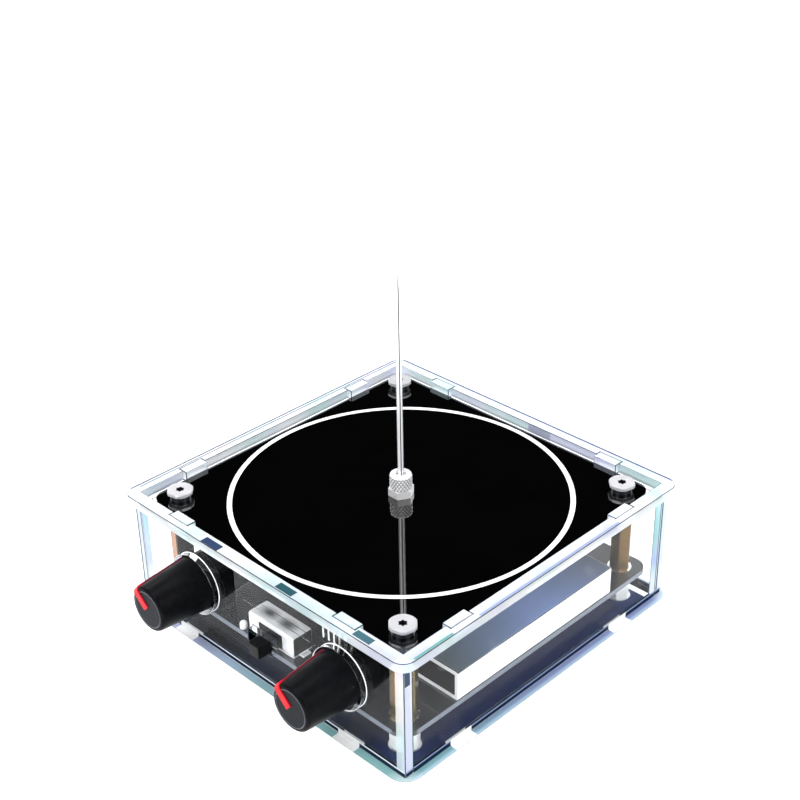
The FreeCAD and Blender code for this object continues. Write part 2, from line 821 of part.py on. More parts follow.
def pointer_profile(sketch, raise_by, sink_by):
    """Bent strip that follows the knob's side, rounds its shoulder and runs in over its crown."""
    shoulder = "sizes.knob_length - sizes.knob_round"
    outside = f"{knob_radius(shoulder)} + {raise_by}"
    top = f"{knob_end} + {raise_by}"
    bend = f"sizes.knob_round + {raise_by}"
    inside = f"{knob_radius(shoulder)} - {sink_by}"
    points = [(f"sizes.knob_base + {raise_by}", knob_start)]
    points += [(f"{outside} - ({bend}) * (1 - cos({turn}))",
                f"{top} - ({bend}) * (1 - sin({turn}))") for turn in (0, 22.5, 45, 67.5, 90)]
    points += [("sizes.pointer_reach", top), ("sizes.pointer_reach", f"{knob_end} - {sink_by}"),
               (f"{inside} - {sink_by}", f"{knob_end} - {sink_by}"),
               (inside, f"{knob_end} - 2 * {sink_by}"),
               (f"sizes.knob_base - {sink_by}", knob_start)]
    outline(sketch, points)


def flatted_hole(sketch, radius, flat):
    """Circle cut off by a chord: the D of the shaft's end and of the knob's bore."""
    size, chord = number(radius), number(flat)
    half = (size * size - chord * chord) ** 0.5
    low, high = Vector(-chord, -half, 0), Vector(-chord, half, 0)
    arc = sketch.addGeometry(Part.Arc(low, Vector(size, 0, 0), high), False)
    line = sketch.addGeometry(Part.LineSegment(high, low), False)
    sketch.addConstraint(Sketcher.Constraint("Coincident", arc, 2, line, 1))
    sketch.addConstraint(Sketcher.Constraint("Coincident", line, 2, arc, 1))
    sketch.addConstraint(Sketcher.Constraint("Vertical", line))
    pin_point(sketch, arc, 3, "0", "0")
    index = sketch.addConstraint(Sketcher.Constraint("Radius", arc, size))
    sketch.setExpression(f"Constraints[{index}]", radius)
    index = sketch.addConstraint(Sketcher.Constraint("DistanceX", -1, 1, line, 1, -chord))
    sketch.setExpression(f"Constraints[{index}]", f"-({flat})")


def knob(name):
    body = new_body(name)
    skirt_roof = f"({knob_start} + sizes.skirt_depth)"
    spin(body, [("0", boss_foot), ("sizes.boss_radius", boss_foot), ("sizes.boss_radius", skirt_roof),
                ("sizes.skirt_radius", skirt_roof), ("sizes.skirt_radius", knob_start),
                ("sizes.knob_base", knob_start), ("sizes.knob_crown", knob_end), ("0", knob_end)])
    crown = number("sizes.knob_crown")
    fillet(body, "sizes.knob_round", lambda edge: is_circle(edge, crown, number(knob_end)))
    line_floor = f"{knob_end} - sizes.line_depth"
    line_inside = "sizes.rim_line - sizes.line_width"
    spin(body, [(line_inside, line_floor), ("sizes.rim_line", line_floor),
                ("sizes.rim_line", knob_end), (line_inside, knob_end)], removes=True)
    hole = new_sketch(body, "XY_Plane", boss_foot)
    flatted_hole(hole, "sizes.shaft_radius", "sizes.shaft_flat")
    pocket(body, hole, f"{shaft_tip} - {boss_foot}", backwards=True)
    groove = new_sketch(body, "XZ_Plane")
    pointer_profile(groove, "sizes.groove_overcut", "sizes.pointer_depth")
    settings = {"Midplane": True}
    add_feature(body, "Pocket", groove, True, settings, {"Length": "sizes.pointer_width"})
    return body


def pointer(name):
    body = new_body(name)
    strip = new_sketch(body, "XZ_Plane")
    pointer_profile(strip, "sizes.pointer_raise", "sizes.pointer_depth")
    pad(body, strip, "sizes.pointer_width", middle=True)
    return body


def shaft(name):
    """Plain where it turns in the bushing, with a flat where the knob grips it."""
    body = new_body(name)
    spin(body, [("0", "-sizes.shaft_tail"), ("sizes.shaft_radius", "-sizes.shaft_tail"),
                ("sizes.shaft_radius", shaft_tip), ("0", shaft_tip)])
    flat_start = f"({boss_foot} - sizes.flat_lead)"
    chip = new_sketch(body, "XY_Plane", flat_start)
    outer = "(2 * sizes.shaft_radius)"
    outline(chip, [(f"-{outer}", f"-{outer}"), ("-sizes.shaft_flat", f"-{outer}"),
                   ("-sizes.shaft_flat", outer), (f"-{outer}", outer)])
    pocket(body, chip, f"{shaft_tip} - {flat_start}", backwards=True)
    return body


def bushing(name):
    """Front sheet of the control with the threaded tube that its shaft turns in."""
    body = new_body(name)
    sketch = new_sketch(body, "XY_Plane", "-sizes.front_sheet")
    middle = "sizes.control_height / 2 - sizes.axle_height"
    rectangle(sketch, "0", middle, "sizes.control_width", "sizes.control_height")
    pad(body, sketch, "sizes.front_sheet")
    tube = new_sketch(body, "XY_Plane")
    circle(tube, "sizes.bushing_radius")
    pad(body, tube, "sizes.bushing_length")
    hole = new_sketch(body, "XY_Plane")
    circle(hole, shaft_bore)
    cut_through(body, hole)
    return body


def control(name):
    """Moulded case of the rotary control, with a blind hole for the shaft's tail."""
    body = new_body(name)
    back = "(sizes.control_depth - sizes.front_sheet)"
    sketch = new_sketch(body, "XY_Plane", "-sizes.control_depth")
    middle = "sizes.control_height / 2 - sizes.axle_height"
    rectangle(sketch, "0", middle, "sizes.control_width", "sizes.control_height")
    pad(body, sketch, back)
    roof = number("sizes.control_height - sizes.axle_height")
    fillet(body, "sizes.control_round",
           lambda edge: is_upright(edge) and edge.CenterOfMass.y > roof - 1e-6)
    bore(body, "-sizes.front_sheet", shaft_bore, "sizes.shaft_tail - sizes.front_sheet + sizes.shaft_gap")
    return body


rest_turn = 90 + number("sizes.pointer_rest")
for word, side in (("left", "-1"), ("right", "1")):
    for make, turn in ((control, 0), (bushing, 0), (shaft, rest_turn), (knob, rest_turn),
                       (pointer, rest_turn)):
        label = f"{word}_{make.__name__}"
        name_node(toward_front(make(label), side, turn), label)

# ---- slide switch

switch_front = f"(-{wall_back} + sizes.switch_setback)"
switch_row = f"({switch_front} + sizes.switch_depth / 2)"
switch_top = f"({driver_top} + sizes.switch_height)"
shell_inside = "(sizes.switch_length - 2 * sizes.shell_thick)"
shell_room = "(sizes.switch_depth - 2 * sizes.shell_thick)"

switch_shell = new_body("switch_shell")
shell = new_sketch(switch_shell, "XY_Plane", driver_top)
rectangle(shell, "sizes.switch_middle", switch_row, "sizes.switch_length", "sizes.switch_depth")
pad(switch_shell, shell, "sizes.switch_height")
fillet(switch_shell, "sizes.shell_round",
       lambda edge: is_upright(edge) or runs_level(edge, number(switch_top)))
lugs = new_sketch(switch_shell, "XY_Plane", driver_top)
lug_span = "sizes.switch_length + 2 * sizes.lug_length"
rectangle(lugs, "sizes.switch_middle", switch_row, lug_span, "sizes.lug_width")
pad(switch_shell, lugs, "sizes.shell_thick")
inside = new_sketch(switch_shell, "XY_Plane", driver_top)
rectangle(inside, "sizes.switch_middle", switch_row, shell_inside, shell_room)
pocket(switch_shell, inside, "sizes.switch_height - sizes.shell_thick", backwards=True)
window = new_sketch(switch_shell, "XZ_Plane", f"-{switch_row}")
rectangle(window, "sizes.switch_middle", lever_level, window_length, window_height)
pocket(switch_shell, window, "sizes.switch_depth", backwards=True)
name_node(switch_shell, "switch_shell")

base_length = f"({shell_inside} - 2 * sizes.base_gap)"
base_depth = f"({shell_room} - 2 * sizes.base_gap)"
switch_base = box("switch_base", base_length, base_depth, "sizes.base_thick",
                  "sizes.switch_middle", switch_row, driver_top)
name_node(switch_base, "switch_base")

lever_rest = "(sizes.switch_middle + sizes.lever_travel / 2)"
lever_tip = f"({wall_face} + sizes.lever_proud)"
lever_depth = f"({lever_tip} + {switch_row})"
lever = box("lever", "sizes.lever_side", lever_depth, "sizes.lever_side", lever_rest,
            f"-{lever_tip} + {lever_depth} / 2", lever_foot)
carriage = box("carriage", "sizes.carriage_length", "sizes.carriage_depth", "sizes.carriage_height",
               lever_rest, switch_row, lever_foot)
slider = join("slider", [lever, carriage])
tip_edge = -number(lever_tip)
slider = round_edges("switch_slider", slider, "sizes.edge_break / 2",
                     lambda edge: abs(edge.BoundBox.YMin - tip_edge) < 1e-6
                     and edge.BoundBox.YLength < 1e-6)
name_node(slider, "switch_slider")

lamp_column = "(sizes.switch_middle - sizes.switch_length / 2 - sizes.lamp_gap - sizes.lamp_radius)"
lamp_row = f"(sizes.lamp_inset - {board_half})"
barrel = cylinder("lamp_barrel", "sizes.lamp_radius", "sizes.lamp_barrel",
                  lamp_column, lamp_row, driver_top)
dome = bound("Sphere", "lamp_dome", {"Radius": "sizes.lamp_radius"},
             lamp_column, lamp_row, f"{driver_top} + sizes.lamp_barrel")
name_node(join("status_led", [barrel, dome]), "status_led")

# ---- heat sink channel and its transistors

heat_sink = new_body("heat_sink_channel")
sink_open = f"({sink_face} - sizes.sink_width)"
sink_top = f"({driver_top} + sizes.sink_height)"
sink_inside = f"({sink_face} - sizes.sink_wall)"
sink_deck = f"({driver_top} + sizes.sink_wall)"
sink_ceiling = f"({sink_top} - sizes.sink_wall)"
channel = new_sketch(heat_sink, "XZ_Plane")
outline(channel, [(sink_open, driver_top), (sink_face, driver_top), (sink_face, sink_top),
                  (sink_open, sink_top), (sink_open, sink_ceiling), (sink_inside, sink_ceiling),
                  (sink_inside, sink_deck), (sink_open, sink_deck)])
pad(heat_sink, channel, "sizes.sink_length", middle=True)
outer_face = number(sink_face)
fillet(heat_sink, "sizes.sink_round",
       lambda edge: edge.BoundBox.XLength < 1e-6 and edge.BoundBox.ZLength < 1e-6
       and abs(edge.BoundBox.XMin - outer_face) < 1e-6)
bolts = new_sketch(heat_sink, "XY_Plane", driver_top)
for y in transistor_rows:
    circle(bolts, screw_hole, bolt_line, y)
pocket(heat_sink, bolts, "sizes.sink_wall", backwards=True)
name_node(heat_sink, "heat_sink_channel")


def transistor(step, row):
    """Metal tab, moulded block and three leads that step down to the board."""
    tab_middle = f"({tab_end} - sizes.tab_reach / 2)"
    metal = box(f"tab_{step}", "sizes.tab_reach", "sizes.transistor_width", "sizes.tab_metal",
                tab_middle, row, sink_deck)
    eye = cylinder(f"eye_{step}", screw_hole, "sizes.tab_metal", bolt_line, row, sink_deck)
    moulding_end = f"({tab_end} - sizes.tab_reach)"
    moulding = box(f"moulding_{step}", "sizes.moulding_length", "sizes.transistor_width",
                   "sizes.moulding_height", f"{moulding_end} - sizes.moulding_length / 2",
                   row, sink_deck)
    lead_root = f"({moulding_end} - sizes.moulding_length)"
    lead_level = f"({sink_deck} + sizes.lead_height)"
    leads = []
    for pin in (-1, 0, 1):
        y = f"{row} + {pin} * sizes.lead_pitch"
        leads.append(box(f"lead_{step}", "sizes.lead_reach", "sizes.lead_width", "sizes.lead_thick",
                         f"{lead_root} - sizes.lead_reach / 2", y, lead_level))
        leads.append(box(f"foot_{step}", "sizes.lead_thick", "sizes.lead_width",
                         f"{lead_level} + sizes.lead_thick - {driver_top}",
                         f"{lead_root} - sizes.lead_reach + sizes.lead_thick / 2", y, driver_top))
    return join(f"transistor_{step}", [cut(f"drilled_{step}", metal, eye), moulding] + leads)


group("power_transistors", [transistor(step, row) for step, row in enumerate(transistor_rows, 1)])

tab_top = f"({sink_deck} + sizes.tab_metal)"
bolt = new_body("one_bolt")
bolt_foot = f"({driver_under} - sizes.bolt_head_height)"
bolt_tip = f"({tab_top} + sizes.nut_height)"
spin(bolt, [("0", bolt_foot), ("sizes.bolt_head", bolt_foot), ("sizes.bolt_head", driver_under),
            ("sizes.thread_radius", driver_under), ("sizes.thread_radius", bolt_tip), ("0", bolt_tip)])
bolt_key = new_sketch(bolt, "XY_Plane", bolt_foot)
hexagon(bolt_key, "sizes.socket_flats")
pocket(bolt, bolt_key, "sizes.socket_depth", backwards=True)
bolt_places = [(bolt_line, row) for row in transistor_rows]
copies("transistor_screws", bolt, bolt_places)

nut = new_body("one_nut")
nut_outline = new_sketch(nut, "XY_Plane", tab_top)
hexagon(nut_outline, "sizes.nut_flats")
pad(nut, nut_outline, "sizes.nut_height")
bore(nut, bolt_tip, thread_bore, "sizes.nut_height")
copies("transistor_nuts", nut, bolt_places)

# ---- sockets behind the rear wall

power_row = f"({wall_face} - sizes.power_depth / 2)"
power_socket = new_body("power_socket")
housing = new_sketch(power_socket, "XY_Plane", driver_top)
rectangle(housing, "sizes.power_middle", power_row, "sizes.power_width", "sizes.power_depth")
pad(power_socket, housing, "sizes.power_height")
mouth = new_sketch(power_socket, "XZ_Plane", f"-{wall_face}")
circle(mouth, "sizes.power_bore", "sizes.power_middle", power_level)
pocket(power_socket, mouth, "sizes.power_bore_depth", backwards=True)
name_node(power_socket, "power_socket")

power_pin = new_body("power_socket_pin")
prong = new_sketch(power_pin, "XZ_Plane", f"-({wall_face} - sizes.power_bore_depth)")
circle(prong, "sizes.power_pin", "sizes.power_middle", power_level)
length = {"Length": "sizes.power_pin_length"}
add_feature(power_pin, "Pad", prong, False, {"Reversed": True}, length)
name_node(power_pin, "power_socket_pin")

audio_socket = new_body("audio_socket")
audio_back = f"({wall_back} - sizes.base_gap)"
block = new_sketch(audio_socket, "XY_Plane", driver_top)
rectangle(block, "sizes.audio_middle", f"{audio_back} - sizes.audio_depth / 2",
          "sizes.audio_width", "sizes.audio_depth")
pad(audio_socket, block, "sizes.audio_height")
nose = new_sketch(audio_socket, "XZ_Plane", f"-{audio_back}")
circle(nose, "sizes.audio_nose", "sizes.audio_middle", audio_level)
nose_length = {"Length": "sizes.wall_thick + sizes.base_gap"}
add_feature(audio_socket, "Pad", nose, False, {"Reversed": True}, nose_length)
jack = new_sketch(audio_socket, "XZ_Plane", f"-{wall_face}")
circle(jack, "sizes.audio_bore", "sizes.audio_middle", audio_level)
pocket(audio_socket, jack, "sizes.audio_bore_depth", backwards=True)
name_node(audio_socket, "audio_socket")

# ---- what else stands on the driver board

cans = []
for step in (0, 1):
    can = cylinder(f"can_{step}", "sizes.can_radius", "sizes.can_height",
                   f"sizes.can_line + {step} * sizes.can_pitch", "sizes.can_row", driver_top)
    can_top = number(f"{driver_top} + sizes.can_height")
    cans.append(round_edges(f"rounded_can_{step}", can, "sizes.can_round",
                            lambda edge: runs_level(edge, can_top)))
group("filter_capacitors", cans)

blocks = []
for step in (0, 1):
    block = box(f"block_{step}", "sizes.block_length", "sizes.block_width", "sizes.block_height",
                "sizes.block_line", f"sizes.block_row - {step} * sizes.block_pitch", driver_top)
    block_top = number(f"{driver_top} + sizes.block_height")
    blocks.append(round_edges(f"rounded_block_{step}", block, "sizes.block_round",
                              lambda edge: is_upright(edge) or runs_level(edge, block_top)))
group("film_capacitors", blocks)

chips = [box(f"chip_{step}", "sizes.chip_length", "sizes.chip_width", "sizes.chip_height",
             f"sizes.chip_line + {step} * sizes.chip_pitch", "sizes.chip_row", driver_top)
         for step in (0, 1, 2)]
group("driver_chips", chips)

regulator = box("voltage_regulator", "sizes.regulator_side", "sizes.regulator_side",
                "sizes.regulator_height", "sizes.regulator_line", "sizes.regulator_row", driver_top)
name_node(regulator, "voltage_regulator")

core_foot = f"({driver_top} + sizes.choke_wire + sizes.choke_gap)"
core_top = f"({core_foot} + sizes.choke_height)"
core_inside = "sizes.choke_radius - sizes.choke_width / 2"
core_outside = "sizes.choke_radius + sizes.choke_width / 2"
choke_core = new_body("choke_core")
bevel = "sizes.choke_bevel"
spin(choke_core, [(f"{core_inside} + {bevel}", core_foot), (f"{core_outside} - {bevel}", core_foot),
                  (core_outside, f"{core_foot} + {bevel}"), (core_outside, f"{core_top} - {bevel}"),
                  (f"{core_outside} - {bevel}", core_top), (f"{core_inside} + {bevel}", core_top),
                  (core_inside, f"{core_top} - {bevel}"), (core_inside, f"{core_foot} + {bevel}")])
name_node(place(choke_core, "sizes.choke_line", "sizes.choke_row"), "choke_core")

turn_width = "(sizes.choke_width + 2 * sizes.choke_gap)"
turn_height = "(sizes.choke_height + 2 * sizes.choke_gap)"
turn_middle = f"({core_foot} + sizes.choke_height / 2)"
wire_turn = new_body("one_choke_turn")
loop = new_sketch(wire_turn, "XZ_Plane")
rectangle(loop, "0", turn_middle, f"{turn_width} + 2 * sizes.choke_wire",
          f"{turn_height} + 2 * sizes.choke_wire")
rectangle(loop, "0", turn_middle, turn_width, turn_height)
pad(wire_turn, loop, "sizes.choke_wire", middle=True)
turn_reach = number(f"{turn_width} / 2 + sizes.choke_wire")
fillet(wire_turn, "sizes.choke_wire",
       lambda edge: edge.BoundBox.XLength < 1e-6 and edge.BoundBox.ZLength < 1e-6
       and abs(abs(edge.BoundBox.XMin) - turn_reach) < 1e-6)
wire_turns = []
for step in range(int(number("sizes.choke_turns"))):
    angle = 360 / number("sizes.choke_turns") * step
    link = doc.addObject("App::Link", f"choke_turn_{step}")
    link.LinkedObject = wire_turn
    link.Placement.Rotation = Rotation(Vector(0, 0, 1), angle)
    wire_turns.append(place(link, f"sizes.choke_line + sizes.choke_radius * cos({angle})",
                            f"sizes.choke_row + sizes.choke_radius * sin({angle})"))
group("choke_winding", wire_turns)

primary_ends = (primary_inner + primary_track / 2,
                primary_inner + primary_track / 2 + primary_turns * primary_pitch)
post_height = f"({coil_under} - sizes.track_thick - {driver_top})"
posts = [cylinder(f"post_{step}", "sizes.post_radius", post_height, f"-{reach}", "0", driver_top)
         for step, reach in enumerate(primary_ends)]
group("coil_link_posts", posts)

comb_row = f"(-{board_half} + sizes.comb_inset)"
comb_foot = f"({driver_top} + sizes.control_height + sizes.comb_gap)"
comb = []
comb_pins = int(number("sizes.comb_pins"))
for step in range(comb_pins):
    offset = step - (comb_pins - 1) / 2
    comb.append(box(f"comb_pin_{step}", "sizes.comb_side", "sizes.comb_side",
                    f"{coil_under} - {comb_foot}",
                    f"sizes.comb_middle + {offset} * sizes.comb_pitch", comb_row, comb_foot))
group("header_pins", comb)

# ---- check and write

doc.recompute()
for piece in doc.Objects:
    if "Invalid" in piece.State or "Error" in piece.State:
        raise RuntimeError(f"{piece.Label} failed: {piece.State}")
os.makedirs("parts", exist_ok=True)
for node in nodes:
    shape = node.Shape
    if shape.isNull() or not shape.isValid() or not shape.Solids:
        raise RuntimeError(f"{node.Label} has no valid solid")
    shape.exportStep(f"parts/{node.Label}.step")
    print(node.Label, len(shape.Solids), round(shape.Volume, 2))
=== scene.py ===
import bpy
import json
import math
from mathutils import Matrix, Vector


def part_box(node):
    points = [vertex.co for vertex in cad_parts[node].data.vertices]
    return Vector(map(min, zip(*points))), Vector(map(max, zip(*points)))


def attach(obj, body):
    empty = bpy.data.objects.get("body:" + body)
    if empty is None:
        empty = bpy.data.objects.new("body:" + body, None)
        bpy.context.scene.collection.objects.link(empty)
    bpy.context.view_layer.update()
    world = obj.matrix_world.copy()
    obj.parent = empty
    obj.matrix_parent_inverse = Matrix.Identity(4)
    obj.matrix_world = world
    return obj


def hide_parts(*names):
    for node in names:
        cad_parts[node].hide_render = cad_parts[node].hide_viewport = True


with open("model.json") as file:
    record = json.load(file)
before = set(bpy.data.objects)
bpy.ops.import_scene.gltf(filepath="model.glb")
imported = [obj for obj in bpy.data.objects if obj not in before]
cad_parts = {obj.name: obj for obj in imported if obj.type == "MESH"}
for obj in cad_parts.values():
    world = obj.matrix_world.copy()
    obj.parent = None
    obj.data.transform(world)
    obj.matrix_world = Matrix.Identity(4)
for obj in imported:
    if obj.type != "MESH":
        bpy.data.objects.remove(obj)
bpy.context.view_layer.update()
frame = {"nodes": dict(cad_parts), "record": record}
mm = 0.001
noiseRough = 0.55  # how ragged every procedural pattern is
print("frame loaded:", len(frame["nodes"]), "nodes")


# small tools for node materials


def startMaterial(name):
    material = bpy.data.materials.new(name)
    material.use_nodes = True
    tree = material.node_tree
    return material, tree, tree.nodes["Principled BSDF"]


def addNode(tree, kind, **settings):
    node = tree.nodes.new(kind)
    for word, value in settings.items():
        setattr(node, word, value)
    return node


def feed(tree, value, socket):
    if isinstance(value, bpy.types.NodeSocket):
        tree.links.new(value, socket)
    else:
        socket.default_value = value


def mathNode(tree, operation, first, second=0.0, third=None):
    node = addNode(tree, "ShaderNodeMath", operation=operation)
    feed(tree, first, node.inputs[0])
    feed(tree, second, node.inputs[1])
    if third is not None:
        feed(tree, third, node.inputs[2])
    return node.outputs[0]


def objectSpot(tree, middle=(0, 0, 0), stretch=(1, 1, 1)):
    place = addNode(tree, "ShaderNodeTexCoord")
    mapping = addNode(tree, "ShaderNodeMapping")
    mapping.inputs["Scale"].default_value = stretch
    mapping.inputs["Location"].default_value = [-m * s for m, s in zip(middle, stretch)]
    tree.links.new(place.outputs["Object"], mapping.inputs["Vector"])
    return mapping.outputs["Vector"]


def axisOf(tree, vector, word):
    split = addNode(tree, "ShaderNodeSeparateXYZ")
    tree.links.new(vector, split.inputs[0])
    return split.outputs[word]


def noiseOf(tree, vector, scale, detail=3.0):
    noise = addNode(tree, "ShaderNodeTexNoise")
    noise.inputs["Scale"].default_value = scale
    noise.inputs["Detail"].default_value = detail
    noise.inputs["Roughness"].default_value = noiseRough
    tree.links.new(vector, noise.inputs["Vector"])
    return noise.outputs["Fac"]


def rangeOf(tree, value, low, high, fromLow=0.3, fromHigh=0.7):
    node = addNode(tree, "ShaderNodeMapRange")
    feed(tree, value, node.inputs["Value"])
    for word, number in (("From Min", fromLow), ("From Max", fromHigh), ("To Min", low), ("To Max", high)):
        node.inputs[word].default_value = number
    return node.outputs["Result"]


def mixColour(tree, factor, first, second):
    node = addNode(tree, "ShaderNodeMix", data_type="RGBA")
    feed(tree, factor, node.inputs["Factor"])
    for socket, colour in ((node.inputs[6], first), (node.inputs[7], second)):
        feed(tree, colour if isinstance(colour, bpy.types.NodeSocket) else (*colour, 1.0), socket)
    return node.outputs[2]


def bumpFrom(tree, height, strength, distance):
    bump = addNode(tree, "ShaderNodeBump")
    bump.inputs["Strength"].default_value = strength
    bump.inputs["Distance"].default_value = distance
    tree.links.new(height, bump.inputs["Height"])
    return bump.outputs["Normal"]


def both(tree, first, second):
    return mathNode(tree, "MULTIPLY", first, second)


def awayFrom(tree, spot, word):
    return mathNode(tree, "ABSOLUTE", axisOf(tree, spot, word))


def beyond(tree, spot, word, level, above=True):
    return mathNode(tree, "GREATER_THAN" if above else "LESS_THAN", axisOf(tree, spot, word), level)


def between(tree, value, low, high):
    return mathNode(tree, "COMPARE", value, (low + high) / 2, (high - low) / 2)


def boxMask(tree, spot, limits):
    mask = 1.0
    for word, (low, high) in zip("XYZ", limits):
        mask = both(tree, between(tree, axisOf(tree, spot, word), low * mm, high * mm), mask)
    return mask


def distanceFrom(tree, spot, words, middle):
    parts = []
    for word, place in zip(words, middle):
        part = mathNode(tree, "SUBTRACT", awayFrom(tree, spot, word), place)
        parts.append(both(tree, part, part))
    return mathNode(tree, "SQRT", mathNode(tree, "ADD", *parts))


def knobAxis():
    low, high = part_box("right_knob")
    return (low.x + high.x) / 2, (low.z + high.z) / 2


fineGrain = {"finer": 4, "detail": 2.0, "deep": 0.03 * mm}


def plainLook(name, look):
    material, tree, shader = startMaterial(name)
    spot = objectSpot(tree)
    grain = noiseOf(tree, spot, look["scale"])
    tree.links.new(mixColour(tree, rangeOf(tree, grain, 0, 1), look["colour"], look["second"]),
                   shader.inputs["Base Color"])
    tree.links.new(rangeOf(tree, grain, *look["rough"]), shader.inputs["Roughness"])
    shader.inputs["Metallic"].default_value = look.get("metallic", 0.0)
    shader.inputs["Specular IOR Level"].default_value = look.get("shine", 0.5)
    shader.inputs["Coat Weight"].default_value = look.get("coat", 0.0)
    shader.inputs["Emission Color"].default_value = (1, 1, 1, 1)
    shader.inputs["Emission Strength"].default_value = look.get("glow", 0.0)
    if look.get("bump"):
        fine = noiseOf(tree, spot, look["scale"] * fineGrain["finer"], fineGrain["detail"])
        tree.links.new(bumpFrom(tree, fine, look["bump"], fineGrain["deep"]), shader.inputs["Normal"])
    return material


# finishes, one dictionary each

looks = {
    "white_nylon": {"colour": (0.93, 0.95, 0.95), "second": (0.97, 0.98, 0.98), "scale": 300,
                    "rough": (0.32, 0.42), "bump": 0.1},
    "screw_steel": {"colour": (0.86, 0.86, 0.89), "second": (0.92, 0.92, 0.94), "scale": 500,
                    "rough": (0.3, 0.38), "metallic": 1.0},
    "copper_track": {"colour": (0.030, 0.020, 0.014), "second": (0.045, 0.030, 0.020), "scale": 500,
                     "rough": (0.2, 0.3)},
    # electrode_steel has a weak painted glow, though it is no lamp
    "electrode_steel": {"colour": (0.88, 0.88, 0.90), "second": (0.95, 0.95, 0.96), "scale": 400,
                        "rough": (0.26, 0.34), "metallic": 0.35, "glow": 0.08},
    "control_case": {"colour": (0.004, 0.004, 0.005), "second": (0.008, 0.008, 0.010), "scale": 500,
                     "rough": (0.38, 0.5), "bump": 0.12, "shine": 0.12},
    "switch_black": {"colour": (0.004, 0.004, 0.005), "second": (0.009, 0.009, 0.011), "scale": 700,
                     "rough": (0.32, 0.42), "bump": 0.1, "shine": 0.15},
    "lamp_white": {"colour": (0.86, 0.90, 0.94), "second": (0.95, 0.96, 0.98), "scale": 500,
                   "rough": (0.18, 0.26), "coat": 0.4},
    "socket_black": {"colour": (0.014, 0.014, 0.016), "second": (0.03, 0.03, 0.034), "scale": 600,
                     "rough": (0.24, 0.36), "bump": 0.08},
    "socket_pin": {"colour": (0.80, 0.80, 0.80), "second": (0.90, 0.90, 0.90), "scale": 900,
                   "rough": (0.14, 0.22), "metallic": 1.0},
    "film_capacitor": {"colour": (0.58, 0.09, 0.045), "second": (0.70, 0.14, 0.07), "scale": 260,
                       "rough": (0.18, 0.3), "coat": 0.4, "bump": 0.08},
    "chip_epoxy": {"colour": (0.022, 0.022, 0.025), "second": (0.04, 0.04, 0.044), "scale": 800,
                   "rough": (0.4, 0.52), "bump": 0.12},
    "ferrite": {"colour": (0.07, 0.07, 0.078), "second": (0.12, 0.12, 0.13), "scale": 700,
                "rough": (0.45, 0.6), "bump": 0.2},
    "enamelled_copper": {"colour": (0.60, 0.24, 0.08), "second": (0.76, 0.36, 0.14), "scale": 400,
                         "rough": (0.16, 0.26), "metallic": 1.0, "coat": 0.5},
    "tinned_pin": {"colour": (0.84, 0.84, 0.82), "second": (0.94, 0.94, 0.93), "scale": 900,
                   "rough": (0.2, 0.3), "metallic": 1.0},
    "print_white": {"colour": (0.93, 0.93, 0.93), "second": (0.98, 0.98, 0.98), "scale": 900,
                    "rough": (0.3, 0.4)},
    # painted highlight lines, with a painted glow, for the cut edges of the switch and the heat sink
    "painted_highlight_edge": {"colour": (0.95, 0.95, 0.97), "second": (0.98, 0.98, 0.99), "scale": 300,
                    "rough": (0.2, 0.3), "glow": 0.3},
}
finishes = {name: plainLook(name, look) for name, look in looks.items()}

# clear acrylic: see-through walls, with pale painted reflection tints, painted dark and light lines and a
# painted glow in the rim, the corners and the foot

# the three glow strengths below give a painted glow to the rim, the corners and the foot, none to the top
# face
acrylic = {"clear": (0.975, 0.992, 1.0), "hazeGlass": 0.3, "lowGlass": 0.03, "ior": 1.14,
           "rough": (0.0, 0.01), "roughScale": 300,
           "paintedGlow": 0.10, "topPaintedGlow": 0.0, "footPaintedGlow": 0.33,
           "rimLevel": 39.25 * mm, "rimTop": 42.1 * mm,
           "wallFace": 55.02 * mm, "cornerFrom": 52.02 * mm}
# the teal and lilac clouds in the rim are painted reflection tints
paintedTints = {"white": (0.83, 0.86, 0.89), "teal": (0.62, 0.79, 0.80), "lilac": (0.70, 0.73, 0.88),
         "cloudScale": 45, "cloudSpan": (0.42, 0.58),
         "lilacScale": 38, "lilacSpan": (0.48, 0.62), "lilacMiddle": (0.2, 0.1, 0)}
# the foot of the bottom plate is painted with reflections and shade: lilac-to-teal gradients, a painted
# light towards the side's outer edge, paler corners, and a painted dark line and a painted light line above
# the strip
foot = {"white": (0.90, 0.91, 0.92), "teal": (0.84, 0.91, 0.91), "corner": (0.72, 0.84, 0.86),
        "front": ((0.42, 0.45, 0.68), (0.23, 0.44, 0.45)), "frontSpan": (-35 * mm, 10 * mm),
        "side": ((0.19, 0.38, 0.42), (0.24, 0.29, 0.52)), "sideSpan": (-45 * mm, 0),
        "sideLight": (0.52, 0.70, 0.84), "lightShare": 0.8, "lightSpan": (56.0 * mm, 57.2 * mm),
        "cornerShare": 0.7, "cornerSpan": (50 * mm, 56 * mm),
        "lineDark": (0.008, 0.018, 0.045), "lineLight": (0.80, 0.84, 0.95), "lineSide": (0.26, 0.33, 0.54),
        "stripLevel": 2.96 * mm, "level": 3.02 * mm, "line": (4.45 * mm, 4.95 * mm),
        "tabs": (29.8 * mm, 38.0 * mm)}
